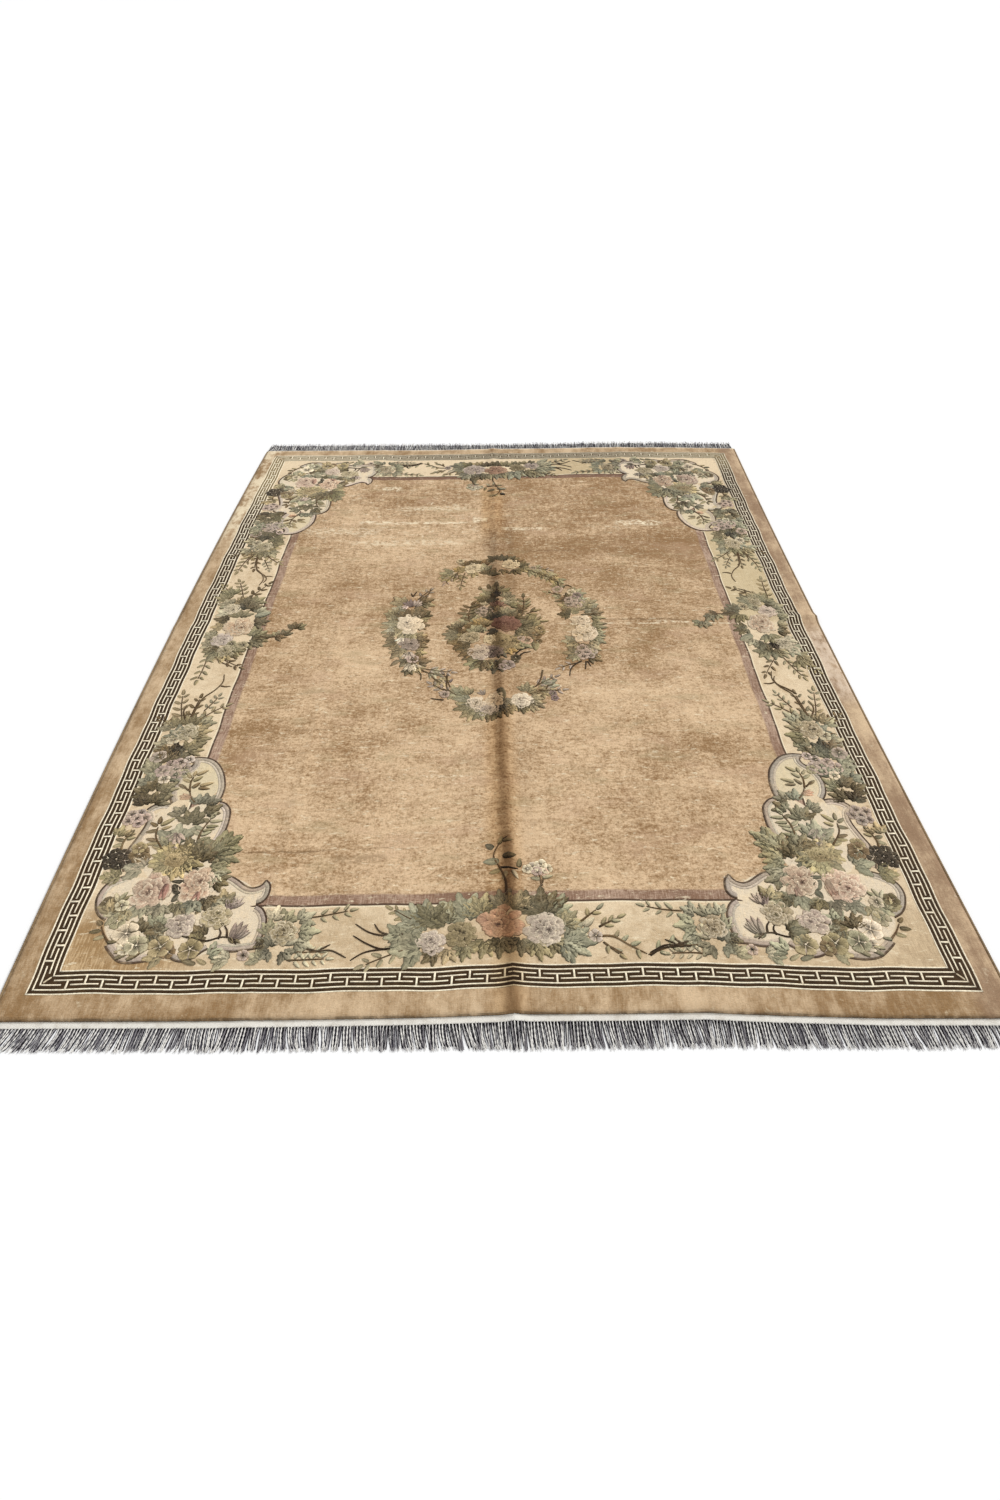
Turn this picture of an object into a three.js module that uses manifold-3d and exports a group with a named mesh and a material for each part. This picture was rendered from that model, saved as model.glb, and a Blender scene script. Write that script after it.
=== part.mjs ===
// A hand-knotted pile rug, lying flat as it was unfolded: one thick sheet of pile on its
// foundation, an overcast cord along each long side, and at each short end the flat-woven web
// of the warps with the fringe that runs out of it.
// Millimetres, +Z up. X runs across the rug and Y along it, and the near end is at -Y. The rug
// lies on Z = 0, with the origin under its middle.
import * as THREE from "three";
import Module from "manifold-3d";

const wasm = await Module();
wasm.setup();

// Sizes of the whole rug
const WIDTH = 2440;
const LENGTH = 3050;
const THICKNESS = 12;
const JOIN_GAP = 0.3;

// The cord along each long side
const CORD_WIDTH = 9;
const CORD_HEIGHT = 9;
const CORD_SIDES = 8;

// The woven web and the fringe at each short end
const WEB_LENGTH = 17;
const WEB_THICKNESS = 3;
const LOCKS_PER_END = 136;
const LOCK_LENGTH_SPREAD = 4;
const LOCK_ROOT_WIDTH = 11.5;
const LOCK_TIP_WIDTH = 7.5;
const LOCK_ROOT_HEIGHT = 2.6;
const LOCK_TIP_HEIGHT = 1.8;
const LOCK_STEPS = [0, 0.5, 1];
const LOCK_BITE = 3;
const LOCK_SWAY = 2.2;

// How the two ends wander, in rows across the rug: how far each end's edge lies towards +Y of
// its true line, how long the locks are there, and how far to the right their tips lean.
const ENDS = [
  { x: -1220, nearShift: -10, farShift: -18, nearLock: 54, farLock: 66, nearLean: -26, farLean: 4 },
  { x: -720, nearShift: -10, farShift: -14, nearLock: 56, farLock: 66, nearLean: 0, farLean: 6 },
  { x: -200, nearShift: -4, farShift: -14, nearLock: 60, farLock: 66, nearLean: 14, farLean: -2 },
  { x: 24, nearShift: 2, farShift: -7, nearLock: 66, farLock: 62, nearLean: 12, farLean: 0 },
  { x: 260, nearShift: 4, farShift: 2, nearLock: 66, farLock: 58, nearLean: 8, farLean: -4 },
  { x: 475, nearShift: 7, farShift: 14, nearLock: 67, farLock: 56, nearLean: 4, farLean: 0 },
  { x: 640, nearShift: -1, farShift: 14, nearLock: 62, farLock: 56, nearLean: 5, farLean: 3 },
  { x: 900, nearShift: -9, farShift: 10, nearLock: 56, farLock: 56, nearLean: 6, farLean: -3 },
  { x: 1220, nearShift: -10, farShift: -4, nearLock: 54, farLock: 58, nearLean: 9, farLean: -4 },
];

// The pile slopes down to its own edge
const RIM_WIDTH = 9;
const RIM_DROP = 3;

// Lines carved round the rug, each a frame: along the outside and the inside of the key fret,
// and along the middle field, which lies a little to the left of the rug's own middle.
const CARVE_WIDTH = 6;
const CARVE_DEPTH = 2.5;
const FRET_OUTER_HALF_WIDTH = 1153;
const FRET_OUTER_HALF_LENGTH = 1459;
const FRET_WIDTH = 61;
const FIELD_HALF_WIDTH = 912;
const FIELD_HALF_LENGTH = 1222;
const FIELD_SHIFT = -13;
const CARVED_FRAMES = [
  { halfWidth: FRET_OUTER_HALF_WIDTH, halfLength: FRET_OUTER_HALF_LENGTH, shift: 0 },
  {
    halfWidth: FRET_OUTER_HALF_WIDTH - FRET_WIDTH,
    halfLength: FRET_OUTER_HALF_LENGTH - FRET_WIDTH,
    shift: 0,
  },
  { halfWidth: FIELD_HALF_WIDTH, halfLength: FIELD_HALF_LENGTH, shift: FIELD_SHIFT },
];

// The rug was stored folded, in four across and in two along. Each fold stays as a ridge: it
// runs along one axis at a place on the other, its height changes from its start to its end,
// and its steps are the shares of its half span where its slope changes. The middle fold leans:
// its place moves by MIDDLE_LEAN from the near end to the far end.
const FOLDS = [
  { runs: "along", at: 24, halfSpan: 44, startHeight: 9, endHeight: 4, steps: [0.3, 1] },
  { runs: "along", at: -612, halfSpan: 36, startHeight: 2.5, endHeight: 2, steps: [1] },
  { runs: "along", at: 618, halfSpan: 36, startHeight: 1.5, endHeight: 2.5, steps: [1] },
  { runs: "across", at: 6, halfSpan: 40, startHeight: 2, endHeight: 9, steps: [0.3, 1] },
];
const MIDDLE_LEAN = -64;
const LEAN_HALF_SPAN = 300;
const CREST_POWER = 1.6;

// A low swell carries the middle fold
const SWELL_HEIGHT = 3.5;
const SWELL_HALF_SPAN = 420;
const SWELL_STEPS = [-1, -0.5, 0.5, 1];

// The fold across the rug runs straight as far as DRIFT_START, and from there it drifts away
// to the far end by DRIFT at the right edge
const DRIFT_START = 100;
const DRIFT = 45;
const DRIFT_HALF_SPAN = 500;

// The rug's middle bows to the left, most at its long sides. In rows across the rug: how far it
// lies to the right at the two ends, and how much further to the left half way between them.
const BOWS = [
  { x: -1220, atEnds: 3.5, bow: 28 },
  { x: -900, atEnds: 3.5, bow: 5 },
  { x: 900, atEnds: 3.5, bow: 2 },
  { x: 1150, atEnds: 3.5, bow: 13 },
  { x: 1220, atEnds: 9, bow: 15 },
];

const LARGEST_CELL = 240;

const pileHalfWidth = WIDTH / 2 - CORD_WIDTH - JOIN_GAP;
const pileHalfLength = LENGTH / 2;

// 1 in the middle of a bump, easing to 0 at its ends.
function bump(distance, halfSpan) {
  const share = Math.min(1, Math.abs(distance) / halfSpan);
  return (1 + Math.cos(Math.PI * share)) / 2;
}

// 1 at a fold's crest, which is sharper than a bump, and 0 at its foot.
function crest(distance, halfSpan) {
  return Math.max(0, 1 - Math.abs(distance) / halfSpan) ** CREST_POWER;
}

function clampedShare(value) {
  return Math.min(1, Math.max(0, value));
}

// How far the fold across the rug has drifted at x.
function drift(x) {
  return DRIFT * clampedShare((x - DRIFT_START) / (WIDTH / 2 - DRIFT_START));
}

// Where the middle fold is across the rug at y.
function middleFold(y) {
  return FOLDS[0].at + MIDDLE_LEAN * clampedShare(y / LENGTH + 0.5);
}

// How high the rug's underside stands off the floor at the flat place (x, y).
function lift(x, y) {
  let height = SWELL_HEIGHT * bump(x - middleFold(y), SWELL_HALF_SPAN);
  for (const fold of FOLDS) {
    const along = fold.runs === "along";
    const share = clampedShare(along ? y / LENGTH + 0.5 : x / WIDTH + 0.5);
    const foldHeight = fold.startHeight + (fold.endHeight - fold.startHeight) * share;
    const place = fold === FOLDS[0] ? middleFold(y) : fold.at;
    const distance = along ? x - place : y - place - drift(x);
    height += foldHeight * crest(distance, fold.halfSpan);
  }
  return height;
}

// The grid's own y moved to follow the fold across the rug, so that a grid line lies on it.
function followed(x, y) {
  const fold = FOLDS.find((entry) => entry.runs === "across");
  return y + drift(x) * bump(y - fold.at, DRIFT_HALF_SPAN);
}

// The grid's own x moved to follow the middle fold along the rug.
function followedAlong(x, y) {
  return x + (middleFold(y) - FOLDS[0].at) * bump(x - FOLDS[0].at, LEAN_HALF_SPAN);
}

// The value that one column of a table of rows has at x, in a straight line from row to row.
function valueAt(rows, column, x) {
  const after = Math.max(1, rows.findIndex((row) => row.x >= x));
  const from = rows[after - 1];
  const to = rows[after];
  return from[column] + ((to[column] - from[column]) * (x - from.x)) / (to.x - from.x);
}

// The flat, true rectangle's point (x, y) moved to where the uneven rug has it, at height z.
function placed(x, y, z) {
  const share = clampedShare(y / LENGTH + 0.5);
  const fromMiddle = 2 * share - 1;
  const within = Math.min(WIDTH / 2, Math.max(-WIDTH / 2, x));
  const bow = valueAt(BOWS, "bow", within) * (1 - fromMiddle ** 2);
  const sideways = valueAt(BOWS, "atEnds", within) - bow;
  const near = valueAt(ENDS, "nearShift", within);
  const endways = near + (valueAt(ENDS, "farShift", within) - near) * share;
  return [x + sideways, y + endways, z];
}

// Sorted places from -half to half that take in every mark, with no two further apart than step.
function gridLines(half, marks, step) {
  const inside = marks.filter((mark) => Math.abs(mark) < half);
  const sorted = [...new Set([-half, ...inside, half])].sort((a, b) => a - b);
  const lines = [sorted[0]];
  for (let i = 1; i < sorted.length; i += 1) {
    const span = sorted[i] - sorted[i - 1];
    const parts = Math.ceil(span / step);
    for (let k = 1; k <= parts; k += 1) lines.push(sorted[i - 1] + (span * k) / parts);
  }
  return lines;
}

// The places across the folds that run one way where their slopes change.
function foldMarks(runs) {
  return FOLDS.filter((fold) => fold.runs === runs).flatMap((fold) => [
    fold.at,
    ...fold.steps.flatMap((step) => [
      fold.at - step * fold.halfSpan,
      fold.at + step * fold.halfSpan,
    ]),
  ]);
}

// The places across the rug where its height or its ends change their slope.
function acrossMarks() {
  const swellMarks = SWELL_STEPS.map((step) => FOLDS[0].at + step * SWELL_HALF_SPAN);
  return [...foldMarks("along"), ...swellMarks, ...[...ENDS, ...BOWS].map((row) => row.x)];
}

// The places across the two lines of a carved frame, which lie half to each side of middle:
// each line has two lips and a bottom.
function carveMarks(half, middle) {
  return [-1, 1].flatMap((side) =>
    [-1, 0, 1].map((lip) => middle + side * half + (lip * CARVE_WIDTH) / 2),
  );
}

// How far the pile's top lies under the full thickness at the flat place (x, y).
function cutDown(x, y) {
  const inside = Math.min(pileHalfWidth - Math.abs(x), pileHalfLength - Math.abs(y));
  const drops = CARVED_FRAMES.map((frame) => {
    const pastSide = Math.abs(x - frame.shift) - frame.halfWidth;
    const pastEnd = Math.abs(y) - frame.halfLength;
    const distance = Math.abs(Math.max(pastSide, pastEnd));
    return CARVE_DEPTH * (1 - clampedShare(distance / (CARVE_WIDTH / 2)));
  });
  return Math.max(RIM_DROP * (1 - clampedShare(inside / RIM_WIDTH)), ...drops);
}

// A closed solid between an underside and a top over a grid of flat places.
function sheetGeometry(xs, ys, underside, top) {
  const positions = [];
  const triangles = [];
  const columns = xs.length;
  const layer = columns * ys.length;
  for (const heightAt of [underside, top]) {
    for (const gridY of ys) {
      for (const gridX of xs) {
        const x = followedAlong(gridX, gridY);
        const y = followed(x, gridY);
        positions.push(...placed(x, y, heightAt(x, y)));
      }
    }
  }
  const quad = (a, b, c, d) => triangles.push(a, b, c, a, c, d);
  for (let row = 0; row < ys.length - 1; row += 1) {
    for (let column = 0; column < columns - 1; column += 1) {
      const a = row * columns + column;
      const b = a + 1;
      const c = b + columns;
      const d = a + columns;
      quad(layer + a, layer + b, layer + c, layer + d);
      quad(d, c, b, a);
    }
  }
  const ring = [];
  for (let column = 0; column < columns; column += 1) ring.push(column);
  for (let row = 1; row < ys.length; row += 1) ring.push(row * columns + columns - 1);
  for (let column = columns - 2; column >= 0; column -= 1) ring.push(layer - columns + column);
  for (let row = ys.length - 2; row > 0; row -= 1) ring.push(row * columns);
  ring.forEach((corner, i) => {
    const next = ring[(i + 1) % ring.length];
    quad(corner, next, layer + next, layer + corner);
  });
  return geometryOf(positions, triangles);
}

// A closed solid through cross-sections with the same number of points each.
function loftGeometry(sections) {
  const sides = sections[0].length;
  const positions = sections.flat(2);
  const triangles = [];
  for (let i = 0; i < sections.length - 1; i += 1) {
    for (let k = 0; k < sides; k += 1) {
      const a = i * sides + k;
      const b = i * sides + ((k + 1) % sides);
      triangles.push(a, b, b + sides, a, b + sides, a + sides);
    }
  }
  const last = (sections.length - 1) * sides;
  for (let k = 1; k < sides - 1; k += 1) {
    triangles.push(0, k + 1, k);
    triangles.push(last, last + k, last + k + 1);
  }
  return geometryOf(positions, triangles);
}

function geometryOf(positions, triangles) {
  const geometry = new THREE.BufferGeometry();
  geometry.setAttribute("position", new THREE.Float32BufferAttribute(positions, 3));
  geometry.setIndex(triangles);
  return geometry;
}

function solidOf(geometry) {
  const mesh = new wasm.Mesh({
    numProp: 3,
    vertProperties: new Float32Array(geometry.getAttribute("position").array),
    triVerts: new Uint32Array(geometry.getIndex().array),
  });
  return new wasm.Manifold(mesh);
}

function geometryOfSolid(solid) {
  const mesh = solid.getMesh();
  const geometry = geometryOf(Array.from(mesh.vertProperties), Array.from(mesh.triVerts));
  geometry.computeVertexNormals();
  return geometry;
}

// The pile on its foundation
function pileGeometry() {
  const rimMarks = (half) => [RIM_WIDTH - half, half - RIM_WIDTH];
  const marksAcross = CARVED_FRAMES.flatMap((frame) => carveMarks(frame.halfWidth, frame.shift));
  const marksAlong = CARVED_FRAMES.flatMap((frame) => carveMarks(frame.halfLength, 0));
  marksAcross.push(...acrossMarks(), ...rimMarks(pileHalfWidth));
  marksAlong.push(...foldMarks("across"), ...rimMarks(pileHalfLength));
  return sheetGeometry(
    gridLines(pileHalfWidth, marksAcross, LARGEST_CELL),
    gridLines(pileHalfLength, marksAlong, LARGEST_CELL),
    lift,
    (x, y) => lift(x, y) + THICKNESS - cutDown(x, y),
  );
}

// The overcast cord along one long side, side -1 or 1, with a flat face down.
function sideCordGeometry(side) {
  const middle = side * (pileHalfWidth + JOIN_GAP + CORD_WIDTH / 2);
  const halfTurn = Math.PI / CORD_SIDES;
  const flatToFlat = Math.cos(halfTurn);
  const places = gridLines(pileHalfLength, foldMarks("across"), LARGEST_CELL);
  const sections = places.map((place) => {
    const y = followed(side * pileHalfWidth, place);
    return Array.from({ length: CORD_SIDES }, (_, k) => {
      const angle = halfTurn + (2 * Math.PI * k) / CORD_SIDES;
      const x = middle + (CORD_WIDTH / 2 / flatToFlat) * Math.cos(angle);
      const z = CORD_HEIGHT / 2 + (CORD_HEIGHT / 2 / flatToFlat) * Math.sin(angle);
      return placed(x, y, lift(side * pileHalfWidth, y) + z);
    }).reverse();
  });
  return loftGeometry(sections);
}

// A repeatable number from -1 to 1 for each lock and purpose, for small unevenness.
const UNEVEN_STEP = 12.9898;
const PURPOSE_STEP = 78.233;
const UNEVEN_SPREAD = 43758.5453;
function uneven(lock, purpose) {
  const wave = Math.sin(lock * UNEVEN_STEP + purpose * PURPOSE_STEP) * UNEVEN_SPREAD;
  return 2 * (wave - Math.floor(wave)) - 1;
}

// One lock of the fringe: three-sided, with its broad face on the floor at its tip.
function lockGeometry(index, end) {
  const pitch = WIDTH / LOCKS_PER_END;
  const rootX = -WIDTH / 2 + pitch * (index + 0.5);
  const rootY = pileHalfLength + JOIN_GAP + WEB_LENGTH - LOCK_BITE;
  const lock = end * (index + 1);
  const fullLength = valueAt(ENDS, end > 0 ? "farLock" : "nearLock", rootX) + LOCK_BITE;
  const length = fullLength + LOCK_LENGTH_SPREAD * uneven(lock, 1);
  const lean = valueAt(ENDS, end > 0 ? "farLean" : "nearLean", rootX);
  const tipShift = lean + LOCK_SWAY * uneven(lock, 2);
  const sway = LOCK_SWAY * uneven(lock, 3);
  const rootLift = lift(rootX, end * pileHalfLength);
  const sections = LOCK_STEPS.map((share) => {
    const x = rootX + tipShift * share ** 1.5 + sway * Math.sin(Math.PI * share);
    const y = end * (rootY + length * share);
    const z = rootLift * (1 - share) ** 2;
    const half = (LOCK_ROOT_WIDTH + (LOCK_TIP_WIDTH - LOCK_ROOT_WIDTH) * share) / 2;
    const height = LOCK_ROOT_HEIGHT + (LOCK_TIP_HEIGHT - LOCK_ROOT_HEIGHT) * share;
    const points = [placed(x - half, y, z), placed(x + half, y, z), placed(x, y, z + height)];
    return end > 0 ? points.reverse() : points;
  });
  return loftGeometry(sections);
}

// The flat-woven web at one end, end -1 or 1, with the fringe's locks fused into its edge.
function fringedWebGeometry(end) {
  const inner = end * (pileHalfLength + JOIN_GAP);
  const outer = end * (pileHalfLength + JOIN_GAP + WEB_LENGTH);
  const edgeLift = (x) => lift(x, end * pileHalfLength);
  const web = sheetGeometry(
    gridLines(WIDTH / 2, acrossMarks(), LARGEST_CELL),
    [Math.min(inner, outer), Math.max(inner, outer)],
    edgeLift,
    (x) => edgeLift(x) + WEB_THICKNESS,
  );
  const pieces = [solidOf(web)];
  for (let i = 0; i < LOCKS_PER_END; i += 1) pieces.push(solidOf(lockGeometry(i, end)));
  return geometryOfSolid(wasm.Manifold.union(pieces));
}

// The yarns' colours and finishes
const pileYarn = new THREE.MeshStandardMaterial({ color: 0xb89468, roughness: 0.85, metalness: 0 });
const cordYarn = new THREE.MeshStandardMaterial({ color: 0x8f7a58, roughness: 0.9, metalness: 0 });
const warpYarn = new THREE.MeshStandardMaterial({ color: 0xd9d5c8, roughness: 0.9, metalness: 0 });

function meshOf(name, geometry, material) {
  const mesh = new THREE.Mesh(geometry, material);
  mesh.name = name;
  return mesh;
}

const rug = new THREE.Group();
rug.add(meshOf("pile_rug", pileGeometry(), pileYarn));
rug.add(meshOf("side_cord_left", sideCordGeometry(-1), cordYarn));
rug.add(meshOf("side_cord_right", sideCordGeometry(1), cordYarn));
rug.add(meshOf("fringed_web_near", fringedWebGeometry(-1), warpYarn));
rug.add(meshOf("fringed_web_far", fringedWebGeometry(1), warpYarn));

export default rug;
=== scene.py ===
"""A carved floral pile rug, laid out flat with soft fold ridges.

The drawing's sizes are in millimetres on the flat, true rug, with its middle at the origin, +X to the
right and +Y away from the near end. lay_on_rug takes them to the uneven rug, in metres.
"""

import math

import bmesh
import bpy
import numpy as np
from mathutils import Matrix, Vector


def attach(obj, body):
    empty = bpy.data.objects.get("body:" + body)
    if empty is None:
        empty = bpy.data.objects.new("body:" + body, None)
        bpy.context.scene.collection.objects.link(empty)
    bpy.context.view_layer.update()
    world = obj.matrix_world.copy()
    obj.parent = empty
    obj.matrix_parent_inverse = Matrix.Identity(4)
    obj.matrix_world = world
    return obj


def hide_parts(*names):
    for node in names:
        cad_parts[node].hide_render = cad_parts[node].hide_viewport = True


bl_info = {
    "name": "Carved Floral Rug",
    "version": (1, 0, 0),
    "blender": (4, 5, 0),
    "location": "3D View > Sidebar > Rug",
    "description": "Builds a carved floral pile rug with its key fret, flowers, cords and fringe",
    "category": "Add Mesh",
}

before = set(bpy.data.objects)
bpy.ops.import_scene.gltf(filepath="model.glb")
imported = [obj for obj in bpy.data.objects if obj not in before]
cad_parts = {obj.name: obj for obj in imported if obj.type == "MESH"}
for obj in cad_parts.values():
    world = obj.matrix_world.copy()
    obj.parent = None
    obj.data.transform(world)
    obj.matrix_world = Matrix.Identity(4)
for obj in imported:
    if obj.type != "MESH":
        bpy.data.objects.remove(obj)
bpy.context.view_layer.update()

MM = 0.001

# The rug's own sizes and unevenness, as its solids have them
WIDTH = 2440
LENGTH = 3050
THICKNESS = 12
JOIN_GAP = 0.3
CORD_WIDTH = 9
WEB_LENGTH = 17
WEB_THICKNESS = 3
RIM_WIDTH = 9
RIM_DROP = 3
ENDS_X = (-1220, -720, -200, 24, 260, 475, 640, 900, 1220)
NEAR_SHIFT = (-10, -10, -4, 2, 4, 7, -1, -9, -10)
FAR_SHIFT = (-18, -14, -14, -7, 2, 14, 14, 10, -4)
NEAR_LOCK = (54, 56, 60, 66, 66, 67, 62, 56, 54)
FAR_LOCK = (66, 66, 66, 62, 58, 56, 56, 56, 58)
NEAR_LEAN = (-26, 0, 14, 12, 8, 4, 5, 6, 9)
FAR_LEAN = (4, 6, -2, 0, -4, 0, 3, -3, -4)
MIDDLE_LEAN = -64
LEAN_HALF_SPAN = 300
FOLDS_ALONG = ((24, 44, 9, 4), (-612, 36, 2.5, 2), (618, 36, 1.5, 2.5))
FOLD_ACROSS = (6, 40, 2, 9)
CREST_POWER = 1.6
SWELL_HEIGHT = 3.5
SWELL_HALF_SPAN = 420
DRIFT_START = 100
DRIFT = 45
DRIFT_HALF_SPAN = 500
BOWS_X = (-1220, -900, 900, 1150, 1220)
BOW_AT_ENDS = (3.5, 3.5, 3.5, 3.5, 9)
BOW = (28, 5, 2, 13, 15)
PILE_HALF_WIDTH = WIDTH / 2 - CORD_WIDTH - JOIN_GAP
PILE_HALF_LENGTH = LENGTH / 2

# The drawing's frames: the middle of the fret's outer line, and the outside of the dark line
# round the middle field, with a thin pale one outside it
FRET_HALF_WIDTH = 1155
FRET_HALF_LENGTH = 1461
FRET_WIDTH = 60
FIELD_HALF_WIDTH = 912
FIELD_HALF_LENGTH = 1222
FIELD_SHIFT = -13
BAND_LINE_WIDTH = 6
PALE_LINE_WIDTH = 4
LINE_SOFT = 1

# How far the carved shapes stand out of the pile, and how deep their cut edges go
DOME = 1.5
CUT = -1.2


def yarn(red, green, blue):
    """A yarn's colour from the eye's 0 to 255 as linear light."""
    shares = (channel / 255 for channel in (red, green, blue))
    return tuple(s / 12.92 if s <= 0.04045 else ((s + 0.055) / 1.055) ** 2.4 for s in shares)


# The yarns of the carved shapes
GREY = yarn(152, 143, 114)
GREEN = yarn(126, 115, 84)
DARK = yarn(96, 83, 58)
SHADE = yarn(70, 58, 40)
BLACK = yarn(44, 35, 24)
BLUE = yarn(124, 119, 98)
TEAL = yarn(148, 142, 116)
SLATE = yarn(122, 113, 92)
PALE = yarn(188, 174, 144)
OLIVE = yarn(150, 133, 98)
BROWN = yarn(108, 88, 60)
STEM = yarn(92, 72, 48)
TWIG = yarn(62, 48, 34)
PINK = yarn(196, 168, 146)
ROSE = yarn(140, 102, 88)
PEACH = yarn(188, 160, 132)
ORANGE = yarn(184, 146, 118)
BURGUNDY = yarn(108, 66, 56)
MAUVE = yarn(186, 167, 152)
LILAC = yarn(164, 145, 130)
VIOLET = yarn(130, 110, 102)
CREAM = yarn(226, 206, 174)
IVORY = yarn(236, 220, 192)
YELLOW = yarn(168, 149, 108)
GOLD = yarn(168, 140, 90)
BLOOM = yarn(164, 148, 116)
SKY = yarn(204, 190, 162)
SCROLL = yarn(182, 166, 148)
SHELL = yarn(210, 194, 172)
LINE = yarn(86, 68, 54)

# Tones that grounds and yarns fade, wear or darken to, and some painted shade and highlight
PINK_TAN = yarn(200, 167, 137)
GREEN_TAN = yarn(164, 146, 110)
SMUDGE = yarn(132, 104, 72)
SPECK_AND_CREASE_SHADE = yarn(122, 94, 64)
RIGHT_SHADE = yarn(150, 122, 96)
LIT_TAN = yarn(222, 202, 180)
SHADED_CREAM = yarn(190, 172, 130)
LEAFY_TAN = yarn(166, 144, 100)
CORNER_SHADE = yarn(150, 116, 74)
PALE_CORNER = yarn(212, 194, 164)
FAR_BAND = yarn(112, 80, 62)
LOBE_CREAM = yarn(208, 192, 150)
FRET_SHADE = yarn(72, 54, 34)
FADED_FRET = yarn(142, 124, 90)
HEM_SHADOW_AND_FOUNDATION = yarn(88, 76, 62)
VEIN_RIB_AND_HIGHLIGHT = yarn(222, 206, 176)
WORN_YARN = yarn(204, 180, 144)
FADED_LEAF = yarn(152, 154, 130)
CORD_SHADE = yarn(112, 92, 66)
WEB_SOIL = yarn(214, 206, 192)
STRAND_SHADE = yarn(128, 124, 128)
GAP_SHADOW_TIP = yarn(70, 68, 78)
GAP_SHADOW_ROOT = yarn(14, 13, 16)


def length_property(name, description, default, low, high):
    return bpy.props.FloatProperty(
        name=name, description=description, default=default, min=low, max=high, unit="LENGTH"
    )


class RugSizes(bpy.types.PropertyGroup):
    """Sizes that change how the rug is knotted, corded and fringed."""

    cell: length_property("Sheet Cell", "Longest side of the pile sheet's own faces", 0.018, 0.014, 0.06)
    tuft: length_property("Tuft", "Width of one tuft of the pile", 0.0026, 0.001, 0.01)
    wrap_pitch: length_property(
        "Cord Wrap", "Distance from one wrap of the side cord to the next", 0.0055, 0.003, 0.02
    )
    strand_pitch: length_property(
        "Strand Pitch", "Distance from one strand of the fringe to the next", 0.0077, 0.004, 0.02
    )
    yarn_radius: length_property(
        "Warp Yarn Radius", "Radius of one of the fringe's twisted yarns", 0.0011, 0.0003, 0.002
    )


def colour_property(name, description, colour):
    return bpy.props.FloatVectorProperty(
        name=name, description=description, default=colour, size=3, min=0, max=1, subtype="COLOR"
    )


class RugColours(bpy.types.PropertyGroup):
    """Colours of the grounds, lines and yarns."""

    field: colour_property("Field", "Light gold tan of the middle field", yarn(219, 189, 152))
    field_shade: colour_property("Field Shade", "Browner tan of the field", yarn(146, 113, 77))
    border: colour_property("Border", "Cream of the flower border", yarn(228, 206, 172))
    border_shade: colour_property("Border Shade", "Shaded cream", yarn(188, 163, 128))
    corner: colour_property("Corner", "Gold tan outside the cartouches", yarn(204, 174, 132))
    cartouche: colour_property("Cartouche", "Pale cream in the corners", yarn(224, 207, 180))
    outer: colour_property("Outer Border", "Tan outside the fret", yarn(211, 184, 149))
    outer_shade: colour_property("Outer Shade", "Brown in the outer border", yarn(143, 112, 76))
    fret_ground: colour_property("Fret Ground", "Dark brown of the fret", yarn(58, 42, 26))
    fret_line: colour_property("Fret Line", "Pale lines of the fret", yarn(253, 240, 212))
    band: colour_property("Band", "Mauve band round the field", yarn(190, 162, 140))
    band_shade: colour_property("Band Shade", "Darker mauve", yarn(132, 102, 82))
    band_line: colour_property("Band Line", "Dark line round the field", yarn(88, 68, 54))
    worn: colour_property("Worn Pile", "Cream where the pile is worn", yarn(238, 222, 190))
    cord: colour_property("Side Cord", "Overcast yarn of the long sides", yarn(150, 126, 94))
    warp: colour_property("Warp", "Ivory cotton of web and fringe", yarn(244, 240, 230))
    strand: colour_property("Strand", "Greyed ivory of the fringe", yarn(240, 237, 231))
    # The dark yarns low in the fringe are painted shadow in its gaps
    warp_shade: colour_property("Warp Shade", "Slate yarns low in the fringe", yarn(34, 31, 38))
    floor: colour_property("Floor", "Plain pale floor", (0.93, 0.93, 0.93))


# Where the rug lies: folds, swell and wandering edges


def bump(distance, half_span):
    """1 in the middle of a bump, easing to 0 at its ends."""
    return (1 + np.cos(np.pi * np.minimum(1, np.abs(distance) / half_span))) / 2


def crest(distance, half_span):
    """1 at a fold's crest and 0 at its foot."""
    return np.maximum(0, 1 - np.abs(distance) / half_span) ** CREST_POWER


def share_along(y):
    """0 at the near end of the pile and 1 at its far end."""
    return np.clip(y / LENGTH + 0.5, 0, 1)


def middle_fold(y):
    """Where the middle fold, which leans, is across the rug at y."""
    return FOLDS_ALONG[0][0] + MIDDLE_LEAN * share_along(y)


def drift(x):
    """How far the fold across the rug has drifted at x."""
    return DRIFT * np.clip((x - DRIFT_START) / (WIDTH / 2 - DRIFT_START), 0, 1)


def lift(x, y):
    """How high the rug's underside stands off the floor at the flat place (x, y)."""
    share = share_along(y)
    height = SWELL_HEIGHT * bump(x - middle_fold(y), SWELL_HALF_SPAN)
    for at, half_span, start, end in FOLDS_ALONG:
        place = middle_fold(y) if at == FOLDS_ALONG[0][0] else at
        height = height + (start + (end - start) * share) * crest(x - place, half_span)
    at, half_span, start, end = FOLD_ACROSS
    across = np.clip(x / WIDTH + 0.5, 0, 1)
    return height + (start + (end - start) * across) * crest(y - at - drift(x), half_span)


def followed(x, y):
    """A sheet's own grid moved so that its lines follow the folds."""
    x = x + (middle_fold(y) - FOLDS_ALONG[0][0]) * bump(x - FOLDS_ALONG[0][0], LEAN_HALF_SPAN)
    return x, y + drift(x) * bump(y - FOLD_ACROSS[0], DRIFT_HALF_SPAN)


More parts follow.
